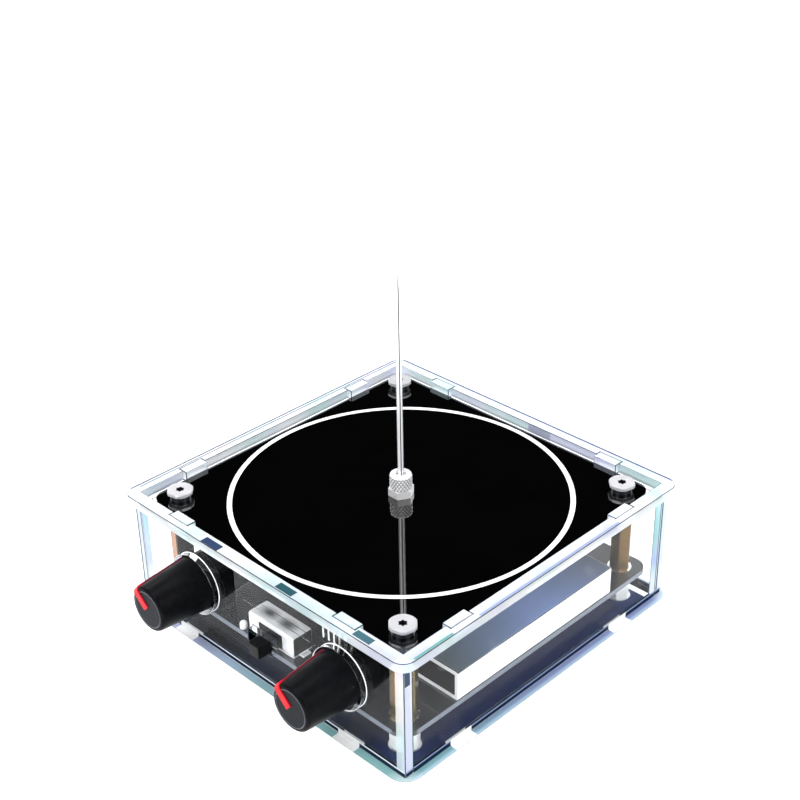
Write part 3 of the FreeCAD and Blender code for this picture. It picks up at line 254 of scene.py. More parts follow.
# painted reflection and shade marks: dark and pale lines and patches on the rim, the wall edges and the
# corners
paintedRimMarks = (  # colour, then low and high limits in mm along X, Y and Z
    ((0.030, 0.050, 0.110), ((-21.4, -14.4), (-57.3, -54.7), (42.1, 42.3))),
    ((0.025, 0.080, 0.095), ((9.4, 15.8), (-57.1, -54.6), (42.1, 42.3))),
    ((0.055, 0.130, 0.160), ((38.6, 44.8), (-56.9, -54.5), (42.1, 42.3))),
    ((0.40, 0.43, 0.56), ((3.0, 11.8), (53.3, 53.7), (39.0, 42.0))),
    ((0.08, 0.10, 0.21), ((-55, 57), (56.6, 57.3), (42.1, 42.3))),
    ((0.07, 0.08, 0.12), ((-57.6, -56.75), (-55, 55), (42.1, 42.3))),
    ((0.12, 0.14, 0.19), ((-56.1, -55.7), (-52, 54), (42.1, 42.3))),
    ((0.30, 0.36, 0.56), ((56.5, 57.25), (-29, 29), (42.1, 42.3))),
    ((0.14, 0.33, 0.33), ((56.5, 57.25), (-53, -39), (42.1, 42.3))),
    ((0.045, 0.075, 0.13), ((55.0, 55.2), (-54.8, -52.9), (33.0, 39.3))),
    ((0.60, 0.63, 0.84), ((55.0, 55.2), (-54.8, -52.9), (3.0, 33.0))),
    ((0.10, 0.13, 0.17), ((-54.7, -54.2), (-55.2, -55.0), (5.0, 39.3))),
    ((0.16, 0.19, 0.23), ((-52.8, -52.4), (-55.2, -55.0), (5.0, 39.3))),
    ((0.08, 0.12, 0.22), ((55.0, 55.2), (52.6, 53.3), (5.0, 39.3))),
)


def acrylicMasks(tree, spot):
    across = awayFrom(tree, spot, "X")
    along = awayFrom(tree, spot, "Y")
    height = axisOf(tree, spot, "Z")
    far = mathNode(tree, "MAXIMUM", across, along)
    near = mathNode(tree, "MINIMUM", across, along)
    outside = mathNode(tree, "GREATER_THAN", far, acrylic["wallFace"])
    rim = mathNode(tree, "GREATER_THAN", height, acrylic["rimLevel"])
    lineLow, lineHigh = foot["line"]
    low = both(tree, outside, mathNode(tree, "LESS_THAN", height, lineHigh))
    corner = mathNode(tree, "GREATER_THAN", near, acrylic["cornerFrom"])
    masks = {
        "low": low,
        "whole": mathNode(tree, "MAXIMUM", mathNode(tree, "MAXIMUM", rim, low), corner),
        "top": mathNode(tree, "GREATER_THAN", height, acrylic["rimTop"]),
        "foot": both(tree, low, mathNode(tree, "LESS_THAN", height, foot["stripLevel"])),
        "strip": both(tree, low, between(tree, height, foot["stripLevel"], foot["level"])),
        "dark": both(tree, low, between(tree, height, foot["level"], lineLow)),
        "light": both(tree, low, between(tree, height, lineLow, lineHigh)),
        "tabs": both(tree, low, between(tree, near, *foot["tabs"])),
    }
    return masks, far, near


# painted reflection gradients for the foot strip and the painted light line above it
def footPaintedColours(tree, spot, far, near):
    alongFront = rangeOf(tree, axisOf(tree, spot, "X"), 0, 1, *foot["frontSpan"])
    alongSide = rangeOf(tree, axisOf(tree, spot, "Y"), 0, 1, *foot["sideSpan"])
    atEdge = rangeOf(tree, far, 0, foot["lightShare"], *foot["lightSpan"])
    front = mixColour(tree, alongFront, *foot["front"])
    side = mixColour(tree, atEdge, mixColour(tree, alongSide, *foot["side"]), foot["sideLight"])
    onSide = mathNode(tree, "GREATER_THAN", axisOf(tree, spot, "X"), acrylic["wallFace"])
    atCorner = rangeOf(tree, near, 0, foot["cornerShare"], *foot["cornerSpan"])
    strip = mixColour(tree, atCorner, mixColour(tree, onSide, front, side), foot["corner"])
    line = mixColour(tree, onSide, foot["lineLight"], foot["lineSide"])
    return strip, line


# painted reflection clouds: white, teal and lilac
def paintedCloudyReflection(tree, spot, cloud):
    elsewhere = objectSpot(tree, paintedTints["lilacMiddle"])
    lilac = rangeOf(tree, noiseOf(tree, elsewhere, paintedTints["lilacScale"]), 0, 1, *paintedTints["lilacSpan"])
    return mixColour(tree, lilac, mixColour(tree, cloud, paintedTints["white"], paintedTints["teal"]), paintedTints["lilac"])


# painted reflection tints, painted marks and painted foot lines, layered over the clear acrylic
def acrylicPaintedTint(tree, spot):
    masks, far, near = acrylicMasks(tree, spot)
    cloud = rangeOf(tree, noiseOf(tree, spot, paintedTints["cloudScale"]), 0, 1, *paintedTints["cloudSpan"])
    tint = paintedCloudyReflection(tree, spot, cloud)
    marked = 0.0
    for colour, limits in paintedRimMarks:
        inside = boxMask(tree, spot, limits)
        tint = mixColour(tree, inside, tint, colour)
        marked = mathNode(tree, "MAXIMUM", inside, marked)
    strip, line = footPaintedColours(tree, spot, far, near)
    plain = mixColour(tree, cloud, foot["white"], foot["teal"])
    layers = (("low", plain), ("strip", strip), ("dark", foot["lineDark"]), ("light", line),
              ("tabs", foot["white"]))
    for word, colour in layers:
        tint = mixColour(tree, masks[word], tint, colour)
    return tint, masks, mathNode(tree, "MAXIMUM", masks["low"], marked)


def acrylicLook(name):
    material, tree, shader = startMaterial(name)
    spot = objectSpot(tree)
    tint, masks, solid = acrylicPaintedTint(tree, spot)
    tree.links.new(mixColour(tree, masks["whole"], acrylic["clear"], tint), shader.inputs["Base Color"])
    glass = both(tree, rangeOf(tree, masks["whole"], 1.0, acrylic["hazeGlass"], 0, 1),
                 rangeOf(tree, solid, 1.0, acrylic["lowGlass"], 0, 1))
    tree.links.new(glass, shader.inputs["Transmission Weight"])
    tree.links.new(rangeOf(tree, noiseOf(tree, spot, acrylic["roughScale"]), *acrylic["rough"]),
                   shader.inputs["Roughness"])
    shader.inputs["IOR"].default_value = acrylic["ior"]
    # painted glow in the tint of the rim, the corners and the foot
    tree.links.new(tint, shader.inputs["Emission Color"])
    paintedGlow = mathNode(tree, "MAXIMUM", rangeOf(tree, masks["top"], acrylic["paintedGlow"], acrylic["topPaintedGlow"], 0, 1),
                    both(tree, masks["foot"], acrylic["footPaintedGlow"]))
    tree.links.new(both(tree, paintedGlow, masks["whole"]), shader.inputs["Emission Strength"])
    letLampsThrough(tree, shader)
    return material


def letLampsThrough(tree, shader):
    output = tree.nodes["Material Output"]
    paths = addNode(tree, "ShaderNodeLightPath")
    clear = addNode(tree, "ShaderNodeBsdfTransparent")
    mix = addNode(tree, "ShaderNodeMixShader")
    tree.links.new(paths.outputs["Is Shadow Ray"], mix.inputs[0])
    tree.links.new(shader.outputs[0], mix.inputs[1])
    tree.links.new(clear.outputs[0], mix.inputs[2])
    tree.links.new(mix.outputs[0], output.inputs["Surface"])


finishes["clear_acrylic"] = acrylicLook("clear_acrylic")

# painted dark lines along the acrylic's cut edges, in patches and grey where they meet the floor, and a
# painted glowing highlight round the knob holes
edgeLine = {"colour": (0.020, 0.030, 0.042), "second": (0.07, 0.09, 0.12), "scale": 70, "span": (0.4, 0.6),
            "width": 0.19 * mm, "holeWidth": 0.24 * mm, "fineWidth": 0.14 * mm, "bend": 40,
            "weld": 0.002 * mm, "alpha": 0.95, "rough": 0.2,
            "bright": (0.94, 0.95, 0.97), "hole": (8.9 * mm, 9.8 * mm), "glow": 0.45,
            "ground": (0.50, 0.53, 0.53), "groundLevel": 0.4 * mm}


def paintedEdgeLook(name):
    material, tree, shader = startMaterial(name)
    spot = objectSpot(tree)
    patches = rangeOf(tree, noiseOf(tree, spot, edgeLine["scale"]), 0, 1, *edgeLine["span"])
    line = mixColour(tree, patches, edgeLine["colour"], edgeLine["second"])
    reach = distanceFrom(tree, spot, "XZ", knobAxis())
    # painted glowing highlight round the knob holes in the front wall
    onHole = between(tree, reach, *edgeLine["hole"])
    holeHighlight = both(tree, onHole, beyond(tree, spot, "Y", 0.0, False))
    ground = beyond(tree, spot, "Z", edgeLine["groundLevel"], False)
    line = mixColour(tree, ground, line, edgeLine["ground"])
    tree.links.new(mixColour(tree, holeHighlight, line, edgeLine["bright"]), shader.inputs["Base Color"])
    shader.inputs["Emission Color"].default_value = (1, 1, 1, 1)
    tree.links.new(both(tree, holeHighlight, edgeLine["glow"]), shader.inputs["Emission Strength"])
    shader.inputs["Alpha"].default_value = edgeLine["alpha"]
    shader.inputs["Roughness"].default_value = edgeLine["rough"]
    return material


finishes["acrylic_painted_edge"] = paintedEdgeLook("acrylic_painted_edge")

# brass standoffs: painted light on one facet, painted shade on the other facets and a darker painted shade
# on the column behind

brassPaintedLight = {"lit": (0.86, 0.46, 0.28), "shade": (0.15, 0.11, 0.055), "dark": (0.14, 0.080, 0.022),
             "leftShade": (0.030, 0.022, 0.018), "column": 45.4 * mm,
             "facing": ((0.546, -0.838), (-0.2065, -0.978)), "span": (0.86, 0.93),
             "metallic": 0.75, "rough": (0.18, 0.24), "scale": 120}


def facing(tree, offsets, toward):
    along, across = (both(tree, offset, part) for offset, part in zip(offsets, toward))
    return mathNode(tree, "ADD", along, across)


def brassPaintedLightLook(name):
    material, tree, shader = startMaterial(name)
    spot = objectSpot(tree)
    offsets = []
    for word in "XY":
        place = axisOf(tree, spot, word)
        column = both(tree, mathNode(tree, "SIGN", place), brassPaintedLight["column"])
        offsets.append(mathNode(tree, "SUBTRACT", place, column))
    reach = mathNode(tree, "SQRT", facing(tree, offsets, offsets))
    colours = []
    # painted light on the facet that faces a fixed direction, painted shade on the others
    for toward, shade in zip(brassPaintedLight["facing"], ("shade", "leftShade")):
        turned = mathNode(tree, "DIVIDE", facing(tree, offsets, toward), reach)
        lit = rangeOf(tree, turned, 0, 1, *brassPaintedLight["span"])
        colours.append(mixColour(tree, lit, brassPaintedLight[shade], brassPaintedLight["lit"]))
    colour = mixColour(tree, beyond(tree, spot, "X", 0.0, False), *colours)
    # the rear right column gets a darker painted shade
    rearRightShade = both(tree, beyond(tree, spot, "X", 0.0), beyond(tree, spot, "Y", 0.0))
    tree.links.new(mixColour(tree, rearRightShade, colour, brassPaintedLight["dark"]), shader.inputs["Base Color"])
    shader.inputs["Metallic"].default_value = brassPaintedLight["metallic"]
    tree.links.new(rangeOf(tree, noiseOf(tree, spot, brassPaintedLight["scale"]), *brassPaintedLight["rough"]),
                   shader.inputs["Roughness"])
    return material


finishes["brass"] = brassPaintedLightLook("brass")

# boards

boards = {
    "board_black": {"mask": (0.0004, 0.0004, 0.0006), "second": (0.0008, 0.0008, 0.001),
                    "edge": (0.02, 0.022, 0.03), "rough": (0.012, 0.02), "coat": 1.0},
    "board_dark": {"mask": (0.010, 0.012, 0.016), "second": (0.018, 0.020, 0.026),
                   "edge": (0.12, 0.14, 0.19), "rough": (0.16, 0.2), "coat": 0.3},
}
boardSkin = {"edgeFrom": 51.74 * mm, "scale": 60, "coatRough": 0.02, "coatIor": 1.6}


def boardLook(name, look):
    material, tree, shader = startMaterial(name)
    spot = objectSpot(tree)
    weave = noiseOf(tree, spot, boardSkin["scale"])
    mask = mixColour(tree, rangeOf(tree, weave, 0, 1), look["mask"], look["second"])
    reach = mathNode(tree, "MAXIMUM", awayFrom(tree, spot, "X"), awayFrom(tree, spot, "Y"))
    isEdge = mathNode(tree, "GREATER_THAN", reach, boardSkin["edgeFrom"])
    tree.links.new(mixColour(tree, isEdge, mask, look["edge"]), shader.inputs["Base Color"])
    tree.links.new(rangeOf(tree, weave, *look["rough"]), shader.inputs["Roughness"])
    shader.inputs["Coat Weight"].default_value = look["coat"]
    shader.inputs["Coat Roughness"].default_value = boardSkin["coatRough"]
    shader.inputs["Coat IOR"].default_value = boardSkin["coatIor"]
    return material


for name, look in boards.items():
    finishes[name] = boardLook(name, look)

# navy sheet on the bottom plate

navy = {"front": (0.0008, 0.0040, 0.014), "side": (0.0008, 0.0130, 0.080), "span": (-70 * mm, 30 * mm),
        "rough": (0.1, 0.16), "scale": 60, "shine": 0.15}


def navyLook(name):
    material, tree, shader = startMaterial(name)
    spot = objectSpot(tree)
    cloud = noiseOf(tree, spot, navy["scale"])
    slope = mathNode(tree, "ADD", axisOf(tree, spot, "X"), axisOf(tree, spot, "Y"))
    fade = rangeOf(tree, slope, 0, 1, *navy["span"])
    tree.links.new(mixColour(tree, fade, navy["front"], navy["side"]), shader.inputs["Base Color"])
    tree.links.new(rangeOf(tree, cloud, *navy["rough"]), shader.inputs["Roughness"])
    shader.inputs["Specular IOR Level"].default_value = navy["shine"]
    return material


finishes["navy_sheet"] = navyLook("navy_sheet")

# heat sink: painted light, shade and reflection: a near-white outer face, a slate-blue top painted as the
# dark board mirrored in it, a dark inside, pale highlight patches and glowing cut ends

sink = {"outside": (0.90, 0.91, 0.95), "front": (0.13, 0.18, 0.19), "middle": (0.30, 0.43, 0.82),
        "rear": (0.14, 0.17, 0.23), "inside": (0.030, 0.030, 0.036), "cut": (0.93, 0.93, 0.96),
        "glow": (0.72, 0.75, 0.84), "glowScale": 70, "glowDetail": 1, "glowSpan": (0.56, 0.70),
        "glowFrom": (14 * mm, 22 * mm), "topGlow": 0.6, "rearFrom": 8 * mm, "skin": 0.06 * mm,
        "rough": (0.3, 0.36), "scale": 80, "metallic": 0.3, "cutGlow": 0.35}


def sinkPaintedLightLook(name):
    material, tree, shader = startMaterial(name)
    low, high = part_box("heat_sink_channel")
    spot = objectSpot(tree)
    along = axisOf(tree, spot, "Y")
    cloud = noiseOf(tree, spot, sink["glowScale"], sink["glowDetail"])
    patches = rangeOf(tree, cloud, 0, 1, *sink["glowSpan"])
    glow = both(tree, patches, rangeOf(tree, awayFrom(tree, spot, "Y"), 0, 1, *sink["glowFrom"]))
    # the top is painted slate, the dark board above mirrored in it, with pale painted highlight patches
    top = mixColour(tree, rangeOf(tree, along, 0, 1, low.y, 0), sink["front"], sink["middle"])
    top = mixColour(tree, rangeOf(tree, along, 0, 1, sink["rearFrom"], high.y), top, sink["rear"])
    top = mixColour(tree, both(tree, glow, sink["topGlow"]), top, sink["glow"])
    # painted dark shade inside, with the same pale painted highlight patches
    inside = mixColour(tree, glow, sink["inside"], sink["glow"])
    colour = mixColour(tree, beyond(tree, spot, "Z", high.z - sink["skin"]), inside, top)
    # painted light: the outer face near white
    colour = mixColour(tree, beyond(tree, spot, "X", high.x - sink["skin"]), colour, sink["outside"])
    # the cut ends are painted bright, with a painted glow
    ends = mathNode(tree, "MAXIMUM", beyond(tree, spot, "Y", low.y + sink["skin"], False),
                    beyond(tree, spot, "Y", high.y - sink["skin"]))
    tree.links.new(mixColour(tree, ends, colour, sink["cut"]), shader.inputs["Base Color"])
    shader.inputs["Emission Color"].default_value = (1, 1, 1, 1)
    tree.links.new(both(tree, ends, sink["cutGlow"]), shader.inputs["Emission Strength"])
    grain = noiseOf(tree, spot, sink["scale"])
    tree.links.new(rangeOf(tree, grain, *sink["rough"]), shader.inputs["Roughness"])
    shader.inputs["Metallic"].default_value = sink["metallic"]
    return material


finishes["sink_aluminium"] = sinkPaintedLightLook("sink_aluminium")

# slide switch: a white shell with painted dark reflection blobs and a painted dark shade on its end

switchPaintedReflections = {"white": (0.94, 0.94, 0.96), "blob": (0.030, 0.030, 0.035), "end": (0.016, 0.017, 0.02),
              "rough": (0.12, 0.2), "scale": 260, "metallic": 0.25, "lug": 1.75 * mm, "foot": 0.6 * mm,
              "blobs": (-4.0 * mm, 3.4 * mm), "blobSpan": (0.9 * mm, 4.7 * mm), "blobShade": 0.95,
              "wobble": 0.2 * mm, "squash": 1.8}


def switchPaintedReflectionsLook(name):
    material, tree, shader = startMaterial(name)
    low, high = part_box("switch_shell")
    middle = ((low.x + high.x) / 2, (low.y + high.y) / 2, 0)
    spot = objectSpot(tree)
    grain = noiseOf(tree, spot, switchPaintedReflections["scale"])
    wobble = rangeOf(tree, grain, -switchPaintedReflections["wobble"], switchPaintedReflections["wobble"])
    shade = 0.0
    # painted dark reflection blobs on the white shell
    for offset in switchPaintedReflections["blobs"]:
        local = objectSpot(tree, (middle[0] + offset, middle[1], high.z), (1, switchPaintedReflections["squash"], 1))
        reach = addNode(tree, "ShaderNodeVectorMath", operation="LENGTH")
        tree.links.new(local, reach.inputs[0])
        wavy = mathNode(tree, "ADD", reach.outputs["Value"], wobble)
        blob = rangeOf(tree, wavy, switchPaintedReflections["blobShade"], 0, *switchPaintedReflections["blobSpan"])
        shade = mathNode(tree, "MAXIMUM", blob, shade)
    colour = mixColour(tree, shade, switchPaintedReflections["white"], switchPaintedReflections["blob"])
    # painted dark shade on the end face
    endShade = both(tree, beyond(tree, spot, "X", high.x - switchPaintedReflections["lug"]),
                 beyond(tree, spot, "Z", low.z + switchPaintedReflections["foot"]))
    tree.links.new(mixColour(tree, endShade, colour, switchPaintedReflections["end"]), shader.inputs["Base Color"])
    tree.links.new(rangeOf(tree, grain, *switchPaintedReflections["rough"]), shader.inputs["Roughness"])
    shader.inputs["Metallic"].default_value = switchPaintedReflections["metallic"]
    return material


finishes["switch_chrome"] = switchPaintedReflectionsLook("switch_chrome")

# rotary controls: bushing, pointer and knob

zincSkin = {"tube": (0.70, 0.71, 0.73), "sheet": (0.010, 0.010, 0.012), "edge": 3.6 * mm,
            "rough": (0.3, 0.4), "scale": 700}


def zincLook(name):
    material, tree, shader = startMaterial(name)
    spot = objectSpot(tree)
    onTube = mathNode(tree, "LESS_THAN", distanceFrom(tree, spot, "XZ", knobAxis()), zincSkin["edge"])
    tree.links.new(mixColour(tree, onTube, zincSkin["sheet"], zincSkin["tube"]), shader.inputs["Base Color"])
    tree.links.new(rangeOf(tree, noiseOf(tree, spot, zincSkin["scale"]), *zincSkin["rough"]),
                   shader.inputs["Roughness"])
    tree.links.new(onTube, shader.inputs["Metallic"])
    return material


finishes["control_zinc"] = zincLook("control_zinc")

# pointer: red with a lighter random grain, and a painted dusky shade further back from the face
pointerSkin = {"face": (0.70, 0.004, 0.014), "light": (0.84, 0.010, 0.024), "side": (0.20, 0.018, 0.030),
               "fade": (1.2 * mm, 3.2 * mm), "scale": 400, "rough": 0.3, "shine": 0.15}


def pointerLook(name):
    material, tree, shader = startMaterial(name)
    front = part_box("right_pointer")[0].y
    spot = objectSpot(tree)
    grain = rangeOf(tree, noiseOf(tree, spot, pointerSkin["scale"]), 0, 1)
    red = mixColour(tree, grain, pointerSkin["face"], pointerSkin["light"])
    # painted shade: further back from the face the red turns dusky
    fade = [front + depth for depth in pointerSkin["fade"]]
    back = rangeOf(tree, axisOf(tree, spot, "Y"), 0, 1, *fade)
    tree.links.new(mixColour(tree, back, red, pointerSkin["side"]), shader.inputs["Base Color"])
    shader.inputs["Roughness"].default_value = pointerSkin["rough"]
    shader.inputs["Specular IOR Level"].default_value = pointerSkin["shine"]
    return material


finishes["pointer_red"] = pointerLook("pointer_red")

# knob: a thin painted highlight ring near the face's rim
knobSkin = {"side": (0.0026, 0.0028, 0.0036), "second": (0.0050, 0.0054, 0.0068),
            "face": (0.011, 0.014, 0.019), "line": (0.24, 0.26, 0.30), "lineMiddle": 5.58 * mm,
            "lineHalf": 0.16 * mm, "faceDepth": 0.3 * mm, "rough": (0.3, 0.38), "scale": 900,
            "bump": 0.06, "deep": 0.02 * mm, "shine": 0.06}


def knobLook(name):
    material, tree, shader = startMaterial(name)
    spot = objectSpot(tree)
    grain = noiseOf(tree, spot, knobSkin["scale"])
    reach = distanceFrom(tree, spot, "XZ", knobAxis())
    away = mathNode(tree, "ABSOLUTE", mathNode(tree, "SUBTRACT", reach, knobSkin["lineMiddle"]))
    onRing = mathNode(tree, "LESS_THAN", away, knobSkin["lineHalf"])
    onFace = beyond(tree, spot, "Y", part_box("right_knob")[0].y + knobSkin["faceDepth"], False)
    inRing = mathNode(tree, "LESS_THAN", reach, knobSkin["lineMiddle"])
    body = mixColour(tree, rangeOf(tree, grain, 0, 1), knobSkin["side"], knobSkin["second"])
    body = mixColour(tree, both(tree, onFace, inRing), body, knobSkin["face"])
    # painted highlight ring near the face's rim
    ring = both(tree, onRing, onFace)
    tree.links.new(mixColour(tree, ring, body, knobSkin["line"]), shader.inputs["Base Color"])
    tree.links.new(rangeOf(tree, grain, *knobSkin["rough"]), shader.inputs["Roughness"])
    tree.links.new(bumpFrom(tree, grain, knobSkin["bump"], knobSkin["deep"]), shader.inputs["Normal"])
    shader.inputs["Specular IOR Level"].default_value = knobSkin["shine"]
    return material


finishes["knob_black"] = knobLook("knob_black")

# top screws: steel heads with painted shade in the recess and on the neck under the head

screwSteelAndShade = {"column": 45.4 * mm, "recess": 1.5 * mm, "below": 0.04 * mm, "dark": (0.02, 0.02, 0.024),
            "colour": (0.74, 0.74, 0.77), "second": (0.80, 0.80, 0.83), "scale": 500, "rough": (0.28, 0.36),
            "metallic": 0.45, "neck": 1.55 * mm, "neckShade": (0.020, 0.024, 0.030)}


def inRecess(tree, spot):
    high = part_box("top_screws")[1]
    column = (screwSteelAndShade["column"], screwSteelAndShade["column"])
    near = mathNode(tree, "LESS_THAN", distanceFrom(tree, spot, "XY", column), screwSteelAndShade["recess"])
    return both(tree, near, beyond(tree, spot, "Z", high.z - screwSteelAndShade["below"], False))


def screwSteelAndShadeLook(name):
    material, tree, shader = startMaterial(name)
    spot = objectSpot(tree)
    grain = noiseOf(tree, spot, screwSteelAndShade["scale"])
    steel = mixColour(tree, rangeOf(tree, grain, 0, 1), screwSteelAndShade["colour"], screwSteelAndShade["second"])
    # painted shade on the neck under the head
    neck = beyond(tree, spot, "Z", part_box("top_screws")[1].z - screwSteelAndShade["neck"], False)
    steel = mixColour(tree, neck, steel, screwSteelAndShade["neckShade"])
    # painted shade in the recess
    colour = mixColour(tree, inRecess(tree, spot), steel, screwSteelAndShade["dark"])
    tree.links.new(colour, shader.inputs["Base Color"])
    tree.links.new(rangeOf(tree, grain, *screwSteelAndShade["rough"]), shader.inputs["Roughness"])
    tree.links.new(rangeOf(tree, neck, screwSteelAndShade["metallic"], 0, 0, 1), shader.inputs["Metallic"])
    return material


finishes["top_screw_steel"] = screwSteelAndShadeLook("top_screw_steel")

# electrode: knurled cap and needle

# knurled cap: painted shade in the valleys, and a painted highlight with a painted glow on the ridges and
# the crown
knurlPaintedLight = {"ridge": (0.95, 0.95, 0.97), "valley": (0.10, 0.10, 0.11), "span": (3.12 * mm, 3.20 * mm),
             "crown": 0.73 * mm, "rough": (0.2, 0.28), "scale": 900, "metallic": 0.35, "glow": 0.12}


def knurlPaintedLightLook(name):
    material, tree, shader = startMaterial(name)
    spot = objectSpot(tree)
    grain = noiseOf(tree, spot, knurlPaintedLight["scale"])
    reach = distanceFrom(tree, spot, "XY", (0, 0))
    onTop = beyond(tree, spot, "Z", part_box("collet_cap")[1].z - knurlPaintedLight["crown"])
    height = mathNode(tree, "MAXIMUM", rangeOf(tree, reach, 0, 1, *knurlPaintedLight["span"]), onTop)
    colour = mixColour(tree, height, knurlPaintedLight["valley"], knurlPaintedLight["ridge"])
    tree.links.new(colour, shader.inputs["Base Color"])
    tree.links.new(rangeOf(tree, grain, *knurlPaintedLight["rough"]), shader.inputs["Roughness"])
    shader.inputs["Metallic"].default_value = knurlPaintedLight["metallic"]
    # painted glow on the ridges and the crown
    shader.inputs["Emission Color"].default_value = (1, 1, 1, 1)
    tree.links.new(both(tree, height, knurlPaintedLight["glow"]), shader.inputs["Emission Strength"])
    return material


finishes["knurled_steel"] = knurlPaintedLightLook("knurled_steel")

# needle: painted reflections, a dark stripe and darker rims set by one fixed direction, and a painted glow
# on the bright parts
needlePaintedReflections = {"bright": (0.90, 0.91, 0.94), "dark": (0.015, 0.016, 0.022), "rim": (0.16, 0.17, 0.21),
              "right": (0.7057, 0.7085), "reflectionStripe": (0.02, 0.34), "edge": 0.84, "glow": 0.22,
              "rough": (0.14, 0.2), "scale": 500, "metallic": 0.3}


def needlePaintedReflectionsLook(name):
    material, tree, shader = startMaterial(name)
    spot = objectSpot(tree)
    grain = noiseOf(tree, spot, needlePaintedReflections["scale"])
    # painted reflections: a dark stripe and darker rims set by a fixed direction
    across = facing(tree, [axisOf(tree, spot, word) for word in "XY"], needlePaintedReflections["right"])
    side = mathNode(tree, "DIVIDE", across, distanceFrom(tree, spot, "XY", (0, 0)))
    reflectionStripe = between(tree, side, *needlePaintedReflections["reflectionStripe"])
    rim = mathNode(tree, "GREATER_THAN", mathNode(tree, "ABSOLUTE", side), needlePaintedReflections["edge"])
    dull = mathNode(tree, "MAXIMUM", reflectionStripe, rim)
    colour = mixColour(tree, reflectionStripe, mixColour(tree, rim, needlePaintedReflections["bright"], needlePaintedReflections["rim"]),
                       needlePaintedReflections["dark"])
    tree.links.new(colour, shader.inputs["Base Color"])
    tree.links.new(rangeOf(tree, grain, *needlePaintedReflections["rough"]), shader.inputs["Roughness"])
    shader.inputs["Metallic"].default_value = needlePaintedReflections["metallic"]
    # painted glow on the bright parts
    shader.inputs["Emission Color"].default_value = (1, 1, 1, 1)
    tree.links.new(rangeOf(tree, dull, needlePaintedReflections["glow"], 0, 0, 1), shader.inputs["Emission Strength"])
    return material


finishes["needle_steel"] = needlePaintedReflectionsLook("needle_steel")

# power transistors and capacitors: a plain body with a metal part

transistorSkin = {"plain": (0.020, 0.020, 0.022), "metal": (0.78, 0.78, 0.80), "rough": (0.3, 0.42),
                  "scale": 600, "leftTab": 4.0 * mm, "rightTab": 6.25 * mm}
canSkin = {"plain": (0.012, 0.018, 0.055), "metal": (0.80, 0.81, 0.83), "rough": (0.2, 0.32),
           "scale": 600, "lid": 0.45 * mm}


def onTransistorTab(tree, spot):
    low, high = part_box("power_transistors")
    left = beyond(tree, spot, "X", low.x + transistorSkin["leftTab"], False)
    right = beyond(tree, spot, "X", high.x - transistorSkin["rightTab"])
    return mathNode(tree, "MAXIMUM", left, right)


def onCanLid(tree, spot):
    return beyond(tree, spot, "Z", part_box("filter_capacitors")[1].z - canSkin["lid"])


def splitLook(name, skin, onMetal):
    material, tree, shader = startMaterial(name)
    spot = objectSpot(tree)
    grain = noiseOf(tree, spot, skin["scale"])
    pick = onMetal(tree, spot)
    tree.links.new(mixColour(tree, pick, skin["plain"], skin["metal"]), shader.inputs["Base Color"])
    tree.links.new(pick, shader.inputs["Metallic"])
    tree.links.new(rangeOf(tree, grain, *skin["rough"]), shader.inputs["Roughness"])
    return material


finishes["transistor_epoxy"] = splitLook("transistor_epoxy", transistorSkin, onTransistorTab)
finishes["capacitor_sleeve"] = splitLook("capacitor_sleeve", canSkin, onCanLid)

# every node of the frame gets its finish, and some get thin painted lines along their cut edges: painted
# dark lines on the acrylic, painted glowing highlight lines on the switch and the heat sink

ownLook = {"top_screws": "top_screw_steel"}
edgeFinish = {"clear_acrylic": "acrylic_painted_edge", "switch_chrome": "painted_highlight_edge",
              "sink_aluminium": "painted_highlight_edge"}


def lineWidth(node, line):
    if node == "front_wall":
        return edgeLine["holeWidth"]
    return edgeLine["fineWidth" if line == "painted_highlight_edge" else "width"]


def lineEdges(thing, node, line):
    thing.data.materials.append(finishes[line])
    weld = thing.modifiers.new("weld", "WELD")
    weld.merge_threshold = edgeLine["weld"]
    bevel = thing.modifiers.new("cut_edges", "BEVEL")
    bevel.width = lineWidth(node, line)
    bevel.segments = 1
    bevel.limit_method = "ANGLE"
    bevel.angle_limit = math.radians(edgeLine["bend"])
    bevel.material = 1
    bevel.use_clamp_overlap = True


for row in frame["record"]["subparts"]:
    node, slot = row["node"], row["material_slot"]
    thing = frame["nodes"][node]
    look = finishes[ownLook.get(node, slot)]
    for place in thing.material_slots:
        place.material = look
    if not thing.material_slots:
        thing.data.materials.append(look)
    if slot in edgeFinish:
        lineEdges(thing, node, edgeFinish[slot])


# small tools for modelling


def clearSelection():
    if bpy.context.object and bpy.context.object.mode == "EDIT":
        bpy.ops.object.mode_set(mode="OBJECT")
    bpy.ops.object.select_all(action="DESELECT")


def beginPiece(name):
    piece = bpy.context.object
    piece.name = name
    piece.data.name = name
    return piece


def selectWhere(piece, wanted, kind="FACE"):
    bpy.ops.object.mode_set(mode="OBJECT")
    mesh = piece.data
    for group in (mesh.vertices, mesh.edges, mesh.polygons):
        group.foreach_set("select", [False] * len(group))
    if kind == "FACE":
        for face in mesh.polygons:
            face.select = wanted(face.center)
    else:
        for vertex in mesh.vertices:
            vertex.select = wanted(vertex.co)
    bpy.ops.object.mode_set(mode="EDIT")
    bpy.ops.mesh.select_mode(type=kind)


def endPiece(piece, look, body, smooth=None):
    bpy.ops.object.mode_set(mode="OBJECT")
    bpy.ops.object.transform_apply(location=True, rotation=True, scale=True)
    if smooth is not None:
        bpy.ops.object.shade_smooth_by_angle(angle=math.radians(smooth))
    piece.data.materials.clear()
    piece.data.materials.append(finishes[look])
    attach(piece, body)
    clearSelection()
    return piece


# white ring printed on the coil board

ringPrint = {"outside": 50.6 * mm, "inside": 49.1 * mm, "thick": 0.03 * mm, "steps": 192}


